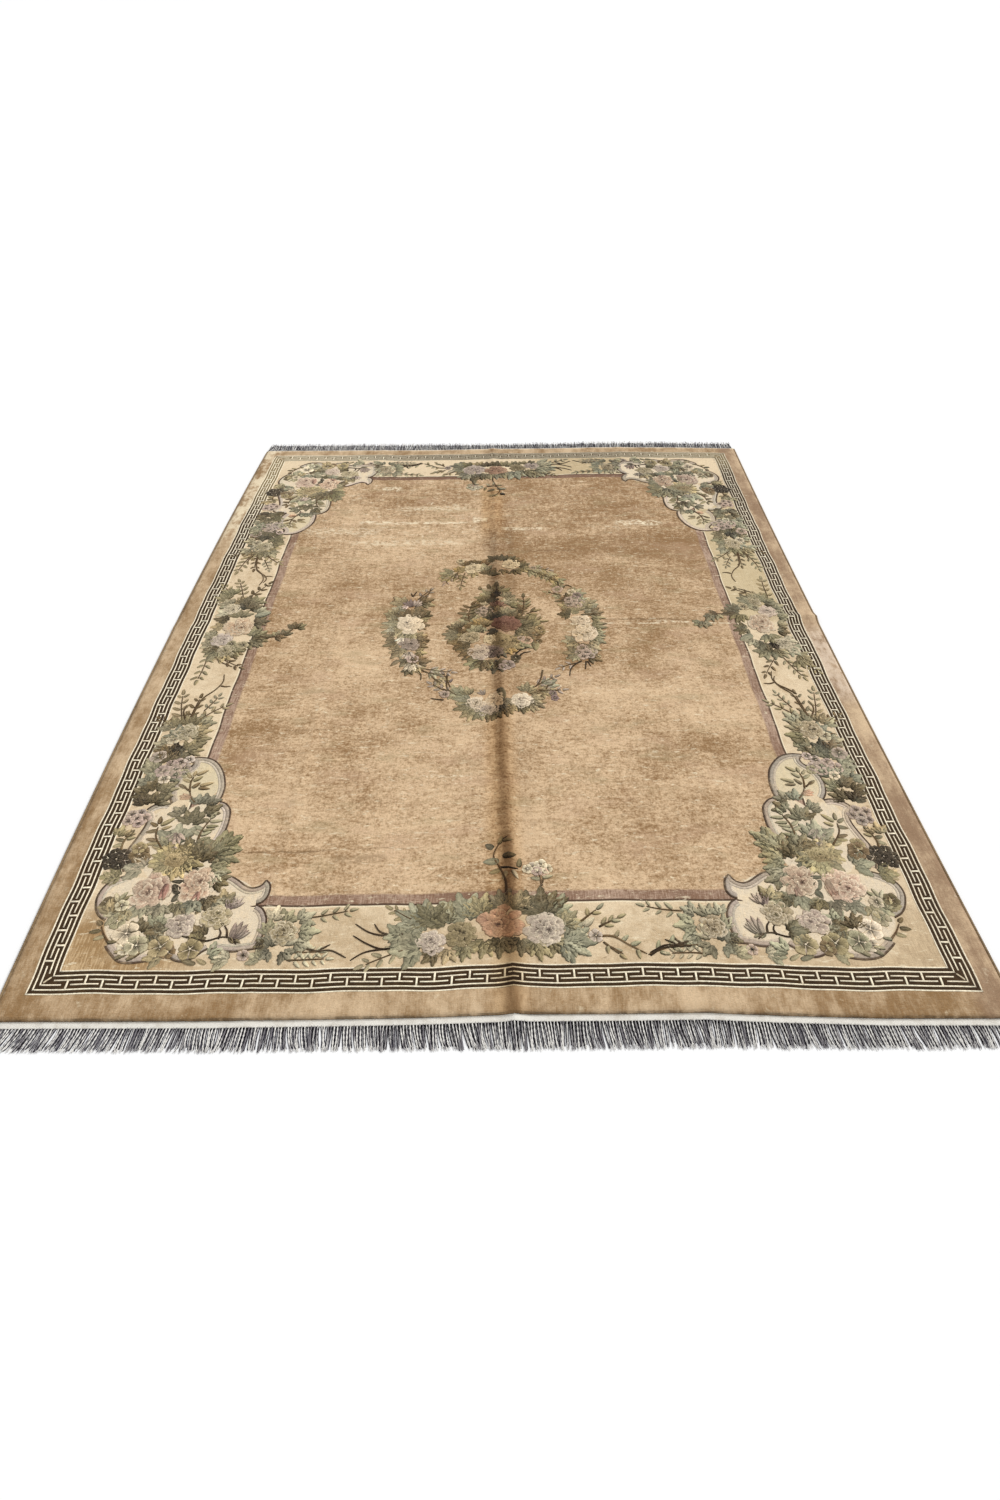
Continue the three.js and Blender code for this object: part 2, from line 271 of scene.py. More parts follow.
def placed(x, y):
    """The flat, true rug's place (x, y) moved to where the uneven rug has it."""
    share = share_along(y)
    near = np.interp(x, ENDS_X, NEAR_SHIFT)
    far = np.interp(x, ENDS_X, FAR_SHIFT)
    bow = np.interp(x, BOWS_X, BOW) * (1 - (2 * share - 1) ** 2)
    return x + np.interp(x, BOWS_X, BOW_AT_ENDS) - bow, y + near + (far - near) * share


def wandered(x, y):
    """How far the knotted pattern strays from its true drawing, in x and in y."""
    stray_x = 1.4 * np.sin(y / 47 + np.sin(x / 210)) + 0.7 * np.sin(y / 21 + x / 90)
    stray_y = 1.4 * np.sin(x / 53 + 1.7 + np.sin(y / 230)) + 0.7 * np.sin(x / 24 + y / 110)
    return stray_x, stray_y


def unevenness(x, y):
    """The pile's own slow waves, which every carved shape rides too."""
    long_wave = np.sin(x / 71 + 1.3) * np.sin(y / 83 + 0.4)
    short_wave = np.sin(x / 29 + y / 53) * np.sin(y / 31 - x / 67 + 2.1)
    return 0.45 * long_wave + 0.25 * short_wave


def coordinates(mesh):
    found = np.empty(len(mesh.vertices) * 3)
    mesh.vertices.foreach_get("co", found)
    return found.reshape(-1, 3)


def set_coordinates(mesh, points):
    mesh.vertices.foreach_set("co", np.ascontiguousarray(points).ravel())
    mesh.update()


def lay_on_rug(mesh):
    """Takes a mesh from the flat drawing, with heights over the pile, to the rug on the floor."""
    x, y, height = coordinates(mesh).T
    stray_x, stray_y = wandered(x, y)
    x, y = x + stray_x, y + stray_y
    at_x, at_y = placed(x, y)
    z = lift(x, y) + THICKNESS + unevenness(x, y) + height
    set_coordinates(mesh, np.column_stack([at_x, at_y, z]) * MM)


def grid_lines(half, marks, step):
    """Sorted places from -half to half that take in every mark, no two further apart than step."""
    kept = sorted({-half, half, *(mark for mark in marks if abs(mark) < half)})
    lines = [kept[0]]
    for start, stop in zip(kept, kept[1:]):
        parts = math.ceil((stop - start) / step)
        lines += [start + (stop - start) * k / parts for k in range(1, parts + 1)]
    return np.array(lines)


FOLD_STEPS = (-1, -0.65, -0.35, -0.12, 0, 0.12, 0.35, 0.65, 1)
MARKS_ACROSS = [at + step * half for at, half, _, _ in FOLDS_ALONG for step in FOLD_STEPS]
MARKS_ACROSS += [*ENDS_X, *BOWS_X]
MARKS_ALONG = [FOLD_ACROSS[0] + step * FOLD_ACROSS[1] for step in FOLD_STEPS]


def make_sheet(name, xs, ys):
    """A closed sheet of two layers. Also each vertex's column, its row and whether it is on top."""
    bm = bmesh.new()
    columns, rows = len(xs) - 1, len(ys) - 1
    bmesh.ops.create_grid(bm, x_segments=columns, y_segments=rows, size=1)
    for face in bm.faces:
        face.smooth = True
    made = bmesh.ops.extrude_face_region(bm, geom=bm.faces[:])
    raised = [item for item in made["geom"] if isinstance(item, bmesh.types.BMVert)]
    bmesh.ops.translate(bm, verts=raised, vec=(0, 0, 1))
    bmesh.ops.recalc_face_normals(bm, faces=bm.faces[:])
    mesh = bpy.data.meshes.new(name)
    bm.to_mesh(mesh)
    bm.free()
    x, y, z = coordinates(mesh).T
    column = np.rint((x + 1) / 2 * columns).astype(int)
    row = np.rint((y + 1) / 2 * rows).astype(int)
    return mesh, column, row, z > 0.5


def add_piece(name, mesh, finish, slot_name, *replaced):
    """Puts a finished mesh in the scene as a piece of the rug."""
    mesh.name = name
    piece = bpy.data.objects.new(name, mesh)
    mesh.materials.clear()
    mesh.materials.append(finish)
    bpy.context.collection.objects.link(piece)
    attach(piece, "root")
    if replaced:
        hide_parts(*replaced)
    return piece


# Materials


def math_node(operation, swapped=False):
    """A Thread's method that adds one Math node."""

    def method(thread, *others):
        values = (*others, thread) if swapped else (thread, *others)
        return thread.finish.node("ShaderNodeMath", {"operation": operation}, values)

    return method


class Thread:
    """A value socket of a finish. Arithmetic on it adds the Math nodes that it needs."""

    def __init__(self, finish, socket):
        self.finish = finish
        self.socket = socket

    __add__ = __radd__ = math_node("ADD")
    __sub__ = math_node("SUBTRACT")
    __rsub__ = math_node("SUBTRACT", swapped=True)
    __mul__ = __rmul__ = math_node("MULTIPLY")
    __truediv__ = math_node("DIVIDE")
    __abs__ = math_node("ABSOLUTE")
    sine = math_node("SINE")
    larger = math_node("MAXIMUM")
    smaller = math_node("MINIMUM")


class Finish:
    """A material under way, and the patterns that the yarns share."""

    def __init__(self, name, **settings):
        self.material = bpy.data.materials.new(name)
        self.material.use_nodes = True
        self.tree = self.material.node_tree
        self.shader = self.tree.nodes["Principled BSDF"]
        for socket, value in settings.items():
            self.shader.inputs[socket.replace("_", " ")].default_value = value

    def node(self, kind, settings=None, values=(), output=0):
        """Adds a node, with its settings first and then its sockets' values or links."""
        node = self.tree.nodes.new(kind)
        for name, value in (settings or {}).items():
            setattr(node, name, value)
        pairs = values.items() if isinstance(values, dict) else enumerate(values)
        for socket, value in pairs:
            if isinstance(value, Thread):
                self.tree.links.new(value.socket, node.inputs[socket])
            else:
                node.inputs[socket].default_value = value
        return Thread(self, node.outputs[output])

    def feed(self, socket, thread):
        self.tree.links.new(thread.socket, self.shader.inputs[socket])

    def attribute(self, name, output):
        return self.node("ShaderNodeAttribute", {"attribute_name": name}, output=output)

    def object_place(self):
        return self.node("ShaderNodeTexCoord", output="Object")

    def parts(self, vector):
        node = self.node("ShaderNodeSeparateXYZ", values=(vector,)).socket.node
        return [Thread(self, socket) for socket in node.outputs]

    def stretched(self, vector, x, y, z=1.0):
        return self.node("ShaderNodeVectorMath", {"operation": "MULTIPLY"}, (vector, (x, y, z)))

    def noise(self, vector, scale, detail=3.0, roughness=0.55):
        values = {"Vector": vector, "Scale": scale, "Detail": detail, "Roughness": roughness}
        return self.node("ShaderNodeTexNoise", values=values)

    def tufts(self, vector, size):
        """Each tuft's own random value, and how far a place is from its tuft's middle."""
        values = {"Vector": vector, "Scale": 1 / size}
        distance = self.node("ShaderNodeTexVoronoi", values=values)
        colour = Thread(self, distance.socket.node.outputs["Color"])
        return self.parts(colour)[0], distance

    def ease(self, value, low, high, start=0.0, stop=1.0):
        """start where value is low, stop where it is high, and an even curve between."""
        settings = {"interpolation_type": "SMOOTHSTEP"}
        limits = {"From Min": low, "From Max": high, "To Min": start, "To Max": stop}
        return self.node("ShaderNodeMapRange", settings, {"Value": value, **limits})

    def past(self, value, at, soft=LINE_SOFT * MM):
        """0 before at and 1 past it, with a soft edge."""
        return self.ease(value, at - soft, at + soft)

    def near(self, value, middle, reach, soft):
        """1 where value is within reach of middle, easing to 0 over soft past it."""
        return self.ease(abs(value - middle), reach + soft, reach)

    def mix(self, share, first, second):
        pair = (
            colour if isinstance(colour, Thread) else (*colour[:3], 1.0)
            for colour in (first, second)
        )
        values = {0: share, **dict(zip((6, 7), pair))}
        return self.node("ShaderNodeMix", {"data_type": "RGBA"}, values, output=2)

    def shade(self, colour, amount):
        """The colour darker or lighter by an amount about 1."""
        values = {0: colour, "Scale": amount}
        return self.node("ShaderNodeVectorMath", {"operation": "SCALE"}, values)

    def dyed(self, colour, dye):
        """The colour multiplied by a dye's."""
        settings = {"operation": "MULTIPLY"}
        return self.node("ShaderNodeVectorMath", settings, (colour, dye))

    def bumped(self, height, strength, distance):
        values = {"Strength": strength, "Distance": distance, "Height": height}
        self.feed("Normal", self.node("ShaderNodeBump", values=values))


# How wool takes the light
WOOL_GLOSS = {
    "Roughness": 0.8,
    "Specular_IOR_Level": 0.1,
    "Sheen_Weight": 0.03,
    "Sheen_Roughness": 0.4,
}

# The brown streak along the middle fold, painted shade on the fold's left flank and partly its crushed pile:
# its middle at the rug's own middle, how far it moves to the left for each metre along, its half width and
# its soft edge, in metres. Then the tints of the streak's painted shade and of the warm strip of painted
# shade along it, and the dye of the carving about the rug's middle
STREAK_MIDDLE = -0.017
STREAK_LEAN = 0.026
STREAK_REACH = 0.004
STREAK_SOFT = 0.03
FOLD_SHADE_DYE = (0.42, 0.36, 0.3)
WARM_FOLD_SHADE = (0.86, 0.72, 0.52)
SMOKE_DYE = (0.88, 0.78, 0.62)


def fold_shade_and_crush(f, colour, x, y):
    """The colour with painted shade along the middle fold, partly its crushed pile: the streak, darkest
    where it crosses into the near border, the faint strip to the right of it and the warm one along its two
    ends."""
    # Painted shade: the fold's flank darkened along its length
    wobble = f.noise(f.stretched(f.object_place(), 0.0, 1.0, 0.0), 9.0, 4.0)
    beside = x + y * STREAK_LEAN + wobble * 0.014
    streak = f.near(beside, STREAK_MIDDLE + 0.007, STREAK_REACH, STREAK_SOFT)
    streak = streak * f.ease(y, 0.2, 0.75, 0.85, 0.2)
    streak = streak * f.ease(wobble, 0.36, 0.56, 0.8, 1.0)
    strip = f.near(beside, STREAK_MIDDLE + 0.03, 0.05, 0.025)
    strip = strip * f.ease(y, -0.2, 0.3, 0.12, 0.3) * f.ease(y, 0.9, 0.6)
    colour = f.mix(strip, colour, f.dyed(colour, FOLD_SHADE_DYE))
    warm = f.near(beside, STREAK_MIDDLE + 0.01, 0.03, 0.04)
    warm = warm * f.ease(y, 0.55, 0.75) * f.ease(y, 1.2, 1.0)
    warm = warm.larger(f.near(beside, STREAK_MIDDLE, 0.01, 0.06) * f.ease(y, -0.2, -0.5))
    colour = f.mix(warm * 0.6, colour, f.dyed(colour, WARM_FOLD_SHADE))
    deep = f.near(beside, STREAK_MIDDLE + 0.011, 0.002, 0.022) * f.ease(y, -0.97, -1.02)
    deep = deep * f.ease(y, -1.3, -1.2)
    colour = f.mix(deep * 0.75, colour, f.dyed(colour, FOLD_SHADE_DYE))
    return f.mix(streak, colour, f.dyed(colour, FOLD_SHADE_DYE))


def box_distance(x, y, half_width, half_length):
    """How far outside a frame a place is, across its nearest side."""
    return (abs(x) - half_width * MM).larger(abs(y) - half_length * MM)


# The pale fields of a corner cartouche: middle and half axes of ellipses, in the near left corner
CARTOUCHE_LOBES = (
    (-920, -775, 70, 84), (-874, -942, 68, 80), (-968, -960, 58, 84), (-900, -1060, 96, 90),
    (-800, -1180, 130, 57), (-668, -1190, 40, 28), (-638, -1168, 12, 22), (-985, -1190, 86, 64),
    (-840, -1262, 190, 108), (-700, -1280, 82, 60),
)
RIGHT_SHIFT = 30
RIGHT_STRETCH_FROM = 900
RIGHT_STRETCH = 26 / 172


def cartouche_mask(f, x, y):
    """1 inside the four corners' cartouches. The right ones are shifted and a little wider."""
    stretched = (x - RIGHT_STRETCH_FROM * MM).larger(0.0) * RIGHT_STRETCH
    right = x + RIGHT_SHIFT * MM - stretched
    side = (x * -1).larger(right)
    down = abs(y)
    nearest = None
    for middle_x, middle_y, half_x, half_y in CARTOUCHE_LOBES:
        offset_x = (side + middle_x * MM) / (half_x * MM)
        offset_y = (down + middle_y * MM) / (half_y * MM)
        distance = offset_x * offset_x + offset_y * offset_y
        nearest = distance if nearest is None else nearest.smaller(distance)
    return f.ease(nearest, 1.04, 0.96)


# Lighter and darker places of the field, in metres: middle, half length, half width and how
# much browner the pile is there
STAINS = (
    (-0.45, 0.62, 0.5, 0.3, -0.06), (0.48, 0.55, 0.45, 0.1, 0.16), (0.66, 0.98, 0.2, 0.2, 0.02),
    (-0.24, 1.02, 0.3, 0.12, 0.04), (0.58, -0.44, 0.36, 0.14, -0.14),
    (-0.47, -0.2, 0.16, 0.1, -0.1), (0.28, -0.2, 0.1, 0.1, 0.14), (-0.8, -0.62, 0.12, 0.12, 0.16),
    (0.6, -0.64, 0.18, 0.06, 0.14), (0.3, 0.42, 0.5, 0.05, -0.06), (0.12, -0.86, 0.14, 0.2, -0.08),
)


def field_colour(f, flat, x, y, colours):
    """The middle field: gold tan in panels between the folds, the far right one darker as painted shade,
    streaked, mottled and worn.
    """
    blotches = f.noise(flat, 2.6, 4.0, 0.6)
    patches = f.noise(f.stretched(flat, 1.0, 1.7), 7.0, 6.0, 0.68)
    streaks = f.noise(f.stretched(flat, 1.0, 5.0), 10.0, 6.0, 0.7)
    brush = f.noise(f.stretched(flat, 6.0, 1.0), 9.0, 4.0, 0.6)
    grain = f.noise(f.stretched(flat, 1.0, 1.4), 62.0, 3.0, 0.8)
    knots = f.noise(flat, 150.0, 2.0, 0.6)
    tone = blotches * 0.75 + patches * 0.7 + streaks * 0.5 + brush * 0.3 + grain * 1.15
    coarse = f.noise(f.stretched(flat, 1.4, 0.7), 42.0, 3.0, 0.6) - 0.5
    tone = tone + coarse * f.ease(y, 0.2, 0.8) * 0.6
    tone = tone + knots * 0.7 + f.ease(y, -0.4, 0.5) * 0.03 + 0.2
    tone = tone - f.ease(y, -0.7, -0.9) * f.ease(abs(x), 0.1, 0.3) * 0.04
    for middle_x, middle_y, half_length, half_width, depth in STAINS:
        stain = f.near(x, middle_x, half_length * 0.3, half_length * 0.9)
        stain = stain * f.near(y, middle_y, half_width * 0.3, half_width * 0.9)
        tone = tone + stain * depth
    # Painted shade: the far right panel between the folds is darker where its pile lies crushed another way
    far_right_panel_shade = f.ease(x, -0.04, 0.02) * f.ease(y, -0.05, 0.35)
    tone = tone + far_right_panel_shade * 0.1
    field = f.mix(f.ease(tone, 1.96, 2.58), colours.field, colours.field_shade)
    pinkish = f.ease(f.noise(f.stretched(flat, 1.0, 2.0), 4.2), 0.52, 0.7)
    field = f.mix(pinkish * 0.35, field, PINK_TAN)
    greenish = f.ease(f.noise(f.stretched(flat, 1.0, 3.0, 1.3), 5.1), 0.54, 0.72)
    field = f.mix(greenish * 0.4, field, GREEN_TAN)
    smudges = f.ease(f.noise(f.stretched(flat, 1.0, 1.8), 17.0, 5.0, 0.7), 0.6, 0.76)
    return f.mix(smudges * 0.4, field, SMUDGE)


# Worn places and creases, in metres: middle, half length, half width and how strong the mark is, above 0
# where it shows pale and below 0 where it shows dark. The pale rows are worn pile, except those along the
# fold across near y 0 on the right, which are its painted highlight; the dark rows are painted shade in the
# creases
WEAR_AND_CREASE_SHADING = (
    (0.62, 0.745, 0.12, 0.034, 1.0), (-0.32, 0.9, 0.2, 0.03, 0.7), (-0.4, 0.6, 0.3, 0.03, 0.6),
    (-0.7, 0.7, 0.2, 0.04, 0.6), (0.1, 0.705, 0.12, 0.018, 0.8), (-0.32, 0.77, 0.2, 0.014, 1.0),
    (-0.56, 0.775, 0.09, 0.02, 1.0), (-0.09, 0.79, 0.04, 0.03, 1.0), (-0.52, 1.1, 0.06, 0.03, 0.9),
    (0.42, -0.004, 0.26, 0.005, 0.8), (0.84, 0.004, 0.3, 0.006, 0.9),
    (-0.17, -0.765, 0.1, 0.006, 0.7), (-0.32, -0.62, 0.06, 0.005, 0.6),
    (0.45, 0.016, 0.3, 0.004, -0.8), (-0.62, -1.043, 0.16, 0.004, -0.8),
    (-0.33, -1.036, 0.13, 0.003, -0.5), (-0.4, -1.072, 0.09, 0.022, -0.5),
    (0.2, 0.52, 0.14, 0.012, -0.5), (-0.58, -0.56, 0.13, 0.005, -0.5),
    (0.95, -1.49, 0.12, 0.012, 1.0), (-0.95, -1.49, 0.14, 0.012, 0.6),
)


def worn_places(f, colour, flat, x, y, colours):
    """Pale flecks, dark specks, and the creases where the rug was folded and dragged, drawn dark as painted
    shade, with a painted highlight beside the fold across.
    """
    flecks = f.noise(f.stretched(flat, 1.0, 3.4), 22.0, 6.0, 0.72)
    specks = f.noise(f.stretched(flat, 1.0, 1.8), 38.0, 4.0, 0.66)
    pale = (f.ease(flecks, 0.565, 0.67) * 0.7).larger(f.ease(specks, 0.36, 0.31) * 0.7)
    far_wear = f.ease(y, 0.4, 0.7) * f.ease(y, 1.25, 1.1) * f.ease(x, 0.2, -0.3, 0.6, 1.0)
    patches = f.noise(f.stretched(flat, 1.0, 2.4), 11.0, 6.0, 0.74)
    pale = pale.larger(far_wear * f.ease(patches, 0.56, 0.7) * 0.7)
    dashes = f.ease(f.noise(f.stretched(flat, 1.5, 0.8), 26.0, 4.0, 0.7), 0.62, 0.7)
    pale = pale.larger(far_wear * dashes * 0.8)
    dark = f.ease(specks, 0.6, 0.72) * 0.6
    wavy_y = y + (patches - 0.5) * 0.03
    # Rows below 0 paint the shade in a crease dark; the pale rows on the fold across paint its highlight
    for middle_x, middle_y, half_length, half_width, strength in WEAR_AND_CREASE_SHADING:
        inside = f.near(x, middle_x, half_length * 0.6, half_length * 0.4)
        inside = inside * f.near(wavy_y, middle_y, half_width * 0.3, half_width * 0.7)
        if strength > 0:
            pale = pale.larger(inside * f.ease(specks, 0.46, 0.56) * strength)
        else:
            dark = dark.larger(inside * f.ease(specks, 0.36, 0.52) * -strength)
    colour = f.mix(dark * 0.9, colour, SPECK_AND_CREASE_SHADE)
    return f.mix(pale, colour, colours.worn)


def outer_colour(f, flat, x, y, colours, patterns):
    """The outer border's tan, with its browner, paler and worn places."""
    mottles, threads, warps, clouds = patterns
    brown = f.noise(f.stretched(flat, 1.6, 0.6), 8.0, 5.0, 0.7)
    tone = brown * 1.5 + mottles * 0.9 + warps * 0.5 + threads * 0.5 + clouds * 0.8
    tone = tone + f.ease(abs(x), 0.55, 0.8) * f.ease(y, -1.4, -1.46) * 0.16
    right = f.ease(x, 1.1, 1.16)
    left = f.ease(x, -1.1, -1.16)
    tone = tone + right * (f.ease(y, -0.7, -1.0) * 0.2 + f.ease(y, 0.1, 0.3) * 0.15)
    tone = tone + left * f.ease(y, -0.8, -1.1) * 0.1
    shade = f.mix(right, colours.outer_shade, RIGHT_SHADE)
    outer = f.mix(f.ease(tone, 1.72, 2.5), colours.outer, shade)
    worn_tone = brown + mottles * 0.5
    lit_side = right * f.near(y, -0.22, 0.14, 0.1) * f.ease(worn_tone, 0.9, 0.7)
    outer = f.mix(lit_side * 0.7, outer, LIT_TAN)
    far_wear = f.ease(y, 1.5, 1.53).larger(f.ease(x, -1.12, -1.16) * f.ease(y, 0.5, 0.8))
    outer = f.mix(far_wear * f.ease(worn_tone, 0.86, 0.66) * 0.8, outer, colours.worn)
    return f.mix(f.ease(mottles, 0.58, 0.74) * 0.5, outer, colours.worn)


def border_colour(f, x, y, colours, patterns):
    """The flower border's cream, which is gold tan outside the nearer cartouches."""
    mottles, threads, warps, clouds = patterns
    tone = clouds * 0.5 + mottles * 0.8 + threads * 0.3 + f.ease(y, -1.2, -1.3) * 0.1
    tone = f.ease(tone - f.ease(y, 1.2, 1.35) * 0.2, 0.68, 1.1)
    border = f.mix(tone, colours.border, colours.border_shade)
    shaded = f.ease(x, 0.85, 0.9) * f.ease(y, 0.0, 0.04) * f.ease(y, 1.1, 0.9)
    border = f.mix(shaded * 0.55, border, SHADED_CREAM)
    leafy = f.near(x, 0.4, 0.16, 0.16) * f.ease(y, 1.15, 1.2)
    border = f.mix(leafy * 0.55, border, LEAFY_TAN)
    low = f.ease(y, -1.18, -1.3) * f.ease(abs(x), 0.94, 1.02)
    low = low.larger(f.ease(y, -1.35, -1.38) * f.ease(abs(x), 0.7, 0.9))
    tone = f.ease(warps + clouds * 0.6 + mottles * 0.5, 0.86, 1.2)
    corner = f.mix(tone, colours.corner, CORNER_SHADE)
    corner = f.mix(f.ease(x, 0.0, 0.1) * 0.45, corner, PALE_CORNER)
    return f.mix(low * 0.85, border, corner)


def band_colour(f, y, colours, patterns):
    """The mauve band round the field, browner at the far end."""
    _, threads, warps, clouds = patterns
    tone = threads * 0.6 + clouds * 0.7 + warps * 0.7 + f.ease(y, -1.1, -1.2) * 0.03
    band = f.mix(f.ease(tone, 0.8, 1.15), colours.band, colours.band_shade)
    return f.mix(f.ease(y, 1.1, 1.18) * 0.75, band, FAR_BAND)


def cartouche_colour(f, y, colours, patterns):
    """The cartouches' pale cream, yellower in their inmost lobes."""
    mottles, _, warps, _ = patterns
    tone = f.ease(mottles * 0.8 + warps * 0.5, 0.55, 0.85)
    cartouche = f.mix(tone, colours.cartouche, colours.border)
    return f.mix(f.ease(abs(y), 0.9, 0.8) * 0.5, cartouche, LOBE_CREAM)


def fret_colour(f, flat, x, y, colours):
    """The fret's dark ground, faded at the far end."""
    tone = f.ease(f.noise(flat, 50.0, 3.0), 0.35, 0.7)
    fret = f.mix(tone, colours.fret_ground, FRET_SHADE)
    faded = f.ease(y, 1.2, 1.4) * f.ease(abs(x), 0.4, 1.1, 0.3, 0.85)
    faded = faded.larger(f.ease(x, -1.0, -1.1) * f.ease(y, 0.8, 1.2))
    return f.mix(faded, fret, FADED_FRET)


def ground_colour(f, flat, x, y, colours, patterns):
    """The grounds, laid over each other from the field out to the hem."""
    mottles, threads, _, _ = patterns
    outside = box_distance(x - FIELD_SHIFT * MM, y, FIELD_HALF_WIDTH, FIELD_HALF_LENGTH)
    field = field_colour(f, flat, x, y, colours)
    share = f.ease(outside + threads * 0.01, -0.034, -0.026)
    ground = f.mix(share, field, band_colour(f, y, colours, patterns))
    ground = f.mix(f.past(outside, -BAND_LINE_WIDTH * MM), ground, colours.band_line)
    ground = f.mix(f.past(outside, 0.0), ground, colours.worn)
    border = border_colour(f, x, y, colours, patterns)
    ground = f.mix(f.past(outside, PALE_LINE_WIDTH * MM), ground, border)
    pale = cartouche_colour(f, y, colours, patterns)
    ground = f.mix(cartouche_mask(f, x, y), ground, pale)
    ground = worn_places(f, ground, flat, x, y, colours)
    outside = box_distance(x, y, FRET_HALF_WIDTH, FRET_HALF_LENGTH)
    fret = fret_colour(f, flat, x, y, colours)
    ground = f.mix(f.past(outside, -FRET_WIDTH * MM), ground, fret)
    outer = outer_colour(f, flat, x, y, colours, patterns)
    ground = f.mix(f.past(outside, 0.0), ground, outer)
    # Painted shadow along the pile's two ends where it meets the web, partly its dark foundation
    hem = f.ease(abs(y), LENGTH / 2 * MM - 0.003, LENGTH / 2 * MM - 0.001)
    return f.mix(hem * f.ease(mottles, 0.4, 0.55, 0.1, 0.5), ground, HEM_SHADOW_AND_FOUNDATION)


def pile_finish(colours, sizes):
    """The knotted pile: its grounds, tufts and mottles."""
    f = Finish("knotted_pile", **WOOL_GLOSS)
    flat = f.attribute("flat", "Vector")
    x, y, _ = f.parts(flat)
    mottles = f.noise(flat, 26.0, 5.0, 0.7)
    threads = f.noise(f.stretched(flat, 1.0, 6.0), 60.0, 3.0, 0.6)
    warps = f.noise(f.stretched(flat, 8.0, 1.0), 30.0, 3.0)
    clouds = f.noise(flat, 5.0, 4.0, 0.6)
    patterns = (mottles, threads, warps, clouds)
    ground = ground_colour(f, flat, x, y, colours, patterns)
    value, distance = f.tufts(flat, sizes.tuft)
    grain = value * 0.16 + threads * 0.3 + warps * 0.2 + mottles * 0.2 + 0.57
    f.feed("Base Color", fold_shade_and_crush(f, f.shade(ground, grain), x, y))
    f.feed("Roughness", f.ease(clouds, 0.3, 0.7, 0.74, 0.9))
    f.bumped(distance * -0.6 + mottles * 1.1 + threads * 0.9 + warps * 0.5, 0.6, 0.0022)
    return f.material


def carved_finish(name, sizes, wear=0.14, light=1.0):
    """Carved shapes: each yarn's own colour, the cut edges and ribs of leaves, the pale lips of petals,
    their fine veins, and a little wear over all of them. The leaves' cut edges are painted pale on their lit
    side and dark on the other, and their lit halves lighter, as painted highlight and shade; the petals' cut
    edges carry a painted highlight."""
    f = Finish(name, **WOOL_GLOSS)
    tint = f.attribute("tint", "Color")
    veins = f.attribute("tint", "Alpha")
    along, across, kind = f.parts(f.attribute("part", "Vector"))
    place = f.object_place()
    x, y, _ = f.parts(place)
    streaks = f.noise(f.stretched(place, 1.0, 2.4), 46.0, 5.0, 0.7)
    patches = f.noise(place, 11.0, 4.0, 0.6)
    value, distance = f.tufts(place, sizes.tuft)
    fine = f.noise(place, 130.0, 3.0, 0.75)
    side = abs(across) + (fine - 0.5) * 0.3
    leaf = f.near(kind, LEAF, 0.2, 0.2)
    petal = f.near(kind, PETAL, 0.2, 0.2)
    # Painted highlight and shade of the cut edges: pale on a leaf's lit side and round the petals, dark on a
    # leaf's other side, and each leaf's lit half lighter
    edge = f.ease(side, 0.62, 0.86).larger(f.ease(along, 0.86, 0.96))
    lit = f.ease(across, -0.25, 0.25)
    pale = (edge * lit * 0.4 + f.ease(side, 0.17, 0.06) * f.ease(along, 0.95, 0.7) * 0.4) * leaf
    pale = pale + edge * f.ease(fine, 0.42, 0.58) * petal * 0.55
    dark = edge * (1 - lit) * leaf * 0.5 + f.ease(along, 0.42, 0.12) * petal * 0.4
    vein = f.ease(veins.sine(), 0.1, 1.0) * (leaf * 0.22 + petal * 0.24)
    bright = f.mix(0.3, f.shade(tint, 1.75), VEIN_RIB_AND_HIGHLIGHT)
    colour = f.mix(vein.larger(pale), tint, bright)
    colour = f.mix(f.ease(patches + streaks * 0.7, 0.8, 1.1) * wear, colour, WORN_YARN)
    faded = f.ease(patches, 0.42, 0.6) * leaf * f.ease(x, -0.2, 0.9, 0.14, 0.34)
    colour = f.mix(faded, colour, FADED_LEAF)
    # Painted shade over the far end: darker from the middle to the right and lighter on the left
    far = f.ease(x, -1.0, 0.0, -0.1, 0.26) - f.ease(x, 0.5, 0.8, 0.0, 0.1)
    far = far * f.ease(y, 0.75, 1.15)
    grain = value * 0.3 + streaks * 0.5 + fine * 0.9 + lit * leaf * 0.3 - dark - far + 0.1
    colour = f.shade(colour, grain * light)
    smoke = f.near(x, 0.0, 0.2, 0.2) * f.near(y, 0.2, 0.3, 0.2)
    colour = f.mix(smoke * 0.7, colour, f.dyed(colour, SMOKE_DYE))
    f.feed("Base Color", fold_shade_and_crush(f, colour, x, y))
    f.bumped(distance * -0.7 + fine * 1.4 + vein * 0.5 + edge * -0.8, 0.5, 0.002)
    return f.material


# Carved shapes, and the kinds that carved_finish tells apart

PLAIN = 0.0
LEAF = 1.0
PETAL = 2.0

# The levels at which the shapes lie over each other
LOWEST_LEVEL = 0.35
LEVEL_STEP = 0.14
LEVELS = 7
UNDER_LEVEL = 0.15

# A frond's fan: degrees from one leaf to the next, and a leaf's width as a share of its length
SMALL_FAN = (42, 0.5)
FULL_FAN = (31, 0.43)
LEAF_WIDTH = 0.36
BUD_WIDTH = 0.28

# A full flower's rings from its rim inwards: petals, their start and end as shares of its
# radius, and how far off the middle a peony's ring is
PEONY_RINGS = (
    (9, 0.45, 1.02, 0.0), (8, 0.3, 0.84, 0.06), (7, 0.18, 0.66, 0.12),
    (5, 0.08, 0.47, 0.18), (3, 0.0, 0.3, 0.22),
)
ASTER_RINGS = ((13, 0.55, 1.02), (12, 0.4, 0.84), (10, 0.26, 0.66), (8, 0.12, 0.48), (5, 0.0, 0.3))


